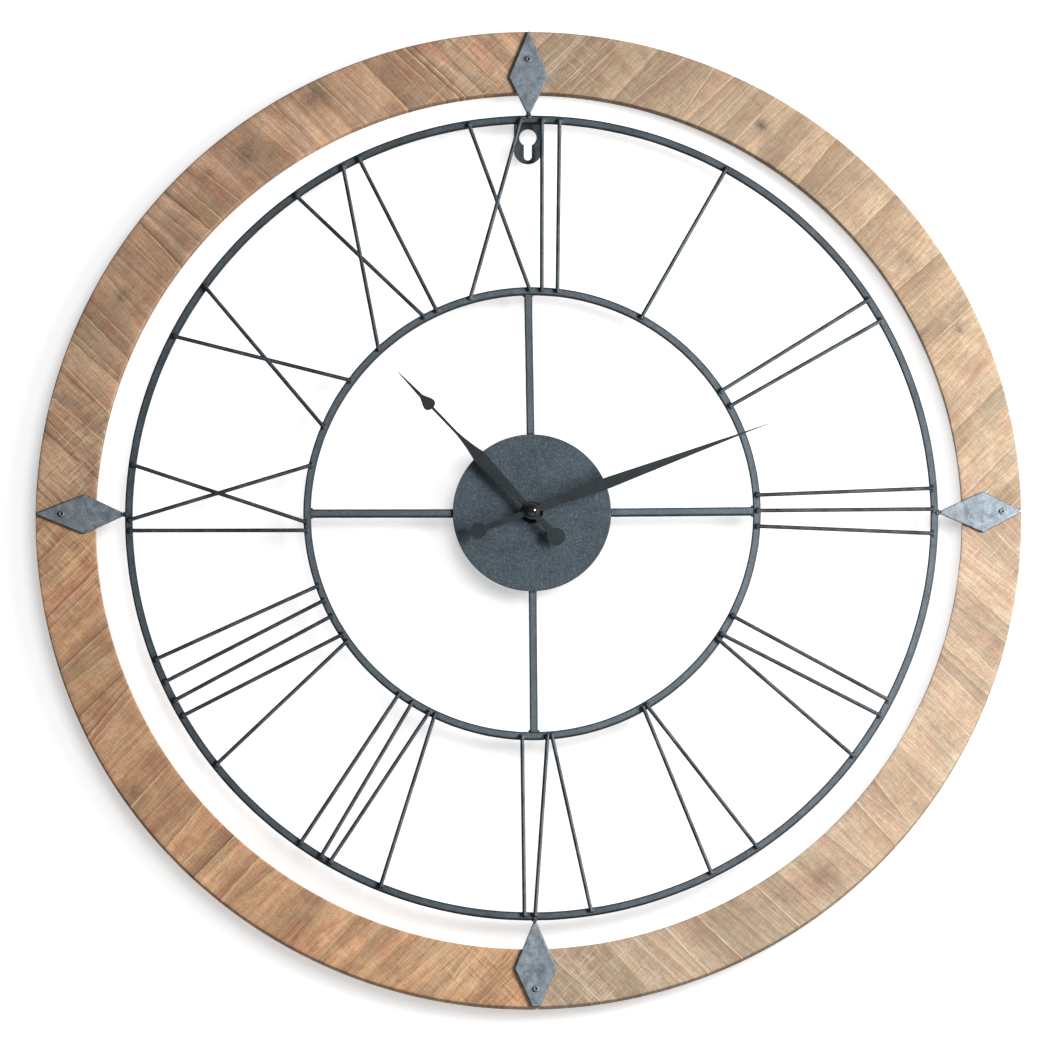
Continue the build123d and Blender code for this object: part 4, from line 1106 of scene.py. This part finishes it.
# ---------------------------------------------------------------- wall, floor, light and camera

def stage_plane(name, corners, material):
    """A flat part of the stage."""
    mesh = bpy.data.meshes.new(name)
    mesh.from_pydata(corners, [], [(0, 1, 2, 3)])
    mesh.materials.append(material)
    plane = bpy.data.objects.new(name, mesh)
    bpy.context.scene.collection.objects.link(plane)
    return plane


def stage_paint(name, tone, glow):
    """Pale, matt paint seen from its front only: from behind, it lets the view through."""
    white = (1, 1, 1, 1)
    paint = Paint(
        name, Roughness=0.9, Specular_IOR_Level=0.1, Emission_Color=white, Emission_Strength=glow
    )
    paint.feed("Base Color", paint.shaded(colour(tone), paint.noise(3, 3, 0.5), 0.01))
    behind = paint.node("NewGeometry").outputs["Backfacing"]
    clear = paint.node("BsdfTransparent").outputs[0]
    chosen = paint.node("MixShader", {0: behind, 1: paint.shader.outputs[0], 2: clear}).outputs[0]
    paint.links.new(chosen, paint.nodes["Material Output"].inputs["Surface"])
    return paint.material


STAGE_HALF = 14.0
FLOOR_DROP = 1.6
WALL_GLOW = 0.42
wall_y = WOOD_BACK + 0.2 * MM
floor_z = WOOD_CENTRE.z - FLOOR_DROP
wall = stage_plane("wall", [
    (-STAGE_HALF, wall_y, floor_z),
    (STAGE_HALF, wall_y, floor_z),
    (STAGE_HALF, wall_y, floor_z + STAGE_HALF),
    (-STAGE_HALF, wall_y, floor_z + STAGE_HALF),
], stage_paint("wall_paint", "f4f4f4", WALL_GLOW))
wall.visible_diffuse = False
wall.visible_glossy = False
wall.visible_transmission = False
wall.visible_shadow = False
stage_plane("floor", [
    (-STAGE_HALF, -STAGE_HALF, floor_z),
    (STAGE_HALF, -STAGE_HALF, floor_z),
    (STAGE_HALF, STAGE_HALF, floor_z),
    (-STAGE_HALF, STAGE_HALF, floor_z),
], stage_paint("floor_paint", "e9e9e7", 0.0))


def soft_light(name, place, size, power, tint, lit, spared):
    """A round studio light, placed from the clock's centre, that lights or spares some objects."""
    data = bpy.data.lights.new(name, "AREA")
    data.shape = "DISK"
    data.size = size
    data.energy = power
    data.color = tint
    light = bpy.data.objects.new(name, data)
    light.location = WOOD_CENTRE + Vector(place)
    light.visible_camera = False
    light.rotation_mode = "QUATERNION"
    light.rotation_quaternion = (-Vector(place)).to_track_quat("-Z", "Y")
    bpy.context.scene.collection.objects.link(light)
    receivers = bpy.data.collections.new(f"{name}_receivers")
    for thing in lit + spared:
        receivers.objects.link(thing)
    for item in receivers.collection_objects:
        item.light_linking.link_state = "INCLUDE" if lit else "EXCLUDE"
    light.light_linking.receiver_collection = receivers


IRON_NAMES = ("iron", "hammered", "weld", "black_hand")
boards = [bpy.data.objects[f"oak_{name}"] for name in BOARDS]
iron_pieces = [
    thing for thing in bpy.context.scene.objects
    if thing.type == "MESH" and thing.material_slots
    and thing.material_slots[0].material.name.startswith(IRON_NAMES)
]
soft_light("key", (1.52, -1.10, 0.30), 0.85, 66, (1.0, 0.99, 0.98), [], [wall])
soft_light("iron_sheen", (0.74, -0.50, -0.24), 0.40, 9, (1.0, 1.0, 1.0), iron_pieces, [])
soft_light("fill", (-1.2, -2.6, 0.9), 2.2, 3, (0.96, 0.98, 1.0), [], [wall])
soft_light("bounce", (0.0, 0.25, -2.2), 1.0, 45, (1.0, 0.98, 0.95), boards, [])
soft_light("behind", (-0.9, 2.4, 1.1), 2.0, 45, (1.0, 1.0, 1.0), [], [wall])
soft_light("wall_wash", (0.50, -2.4, 0.75), 1.8, 36, (1.0, 1.0, 1.0), [wall], [])
soft_light("wall_side", (1.25, -0.85, 0.30), 0.9, 19, (1.0, 1.0, 1.0), [wall], [])

world = bpy.data.worlds.new("studio")
world.use_nodes = True
world.node_tree.nodes["Background"].inputs["Color"].default_value = (0.93, 0.95, 1.0, 1)
world.node_tree.nodes["Background"].inputs["Strength"].default_value = 0.13
bpy.context.scene.world = world
bpy.context.scene.view_settings.view_transform = "Standard"


def make_camera():
    """A far-off camera with a long lens, a little below the clock, for an almost flat view."""
    data = bpy.data.cameras.new("camera")
    data.lens = data.sensor_width * CAMERA_DISTANCE / CAMERA_FIELD
    camera = bpy.data.objects.new("camera", data)
    azimuth, elevation = math.radians(CAMERA_AZIMUTH), math.radians(CAMERA_ELEVATION)
    back = Vector((
        math.sin(azimuth) * math.cos(elevation),
        -math.cos(azimuth) * math.cos(elevation),
        math.sin(elevation),
    ))
    aim = Vector((WOOD_CENTRE.x + CAMERA_AIM[0], WOOD_FRONT, WOOD_CENTRE.z + CAMERA_AIM[1]))
    camera.location = aim + back * CAMERA_DISTANCE
    camera.rotation_mode = "QUATERNION"
    camera.rotation_quaternion = (-back).to_track_quat("-Z", "Y")
    bpy.context.scene.collection.objects.link(camera)
    bpy.context.scene.camera = camera


make_camera()
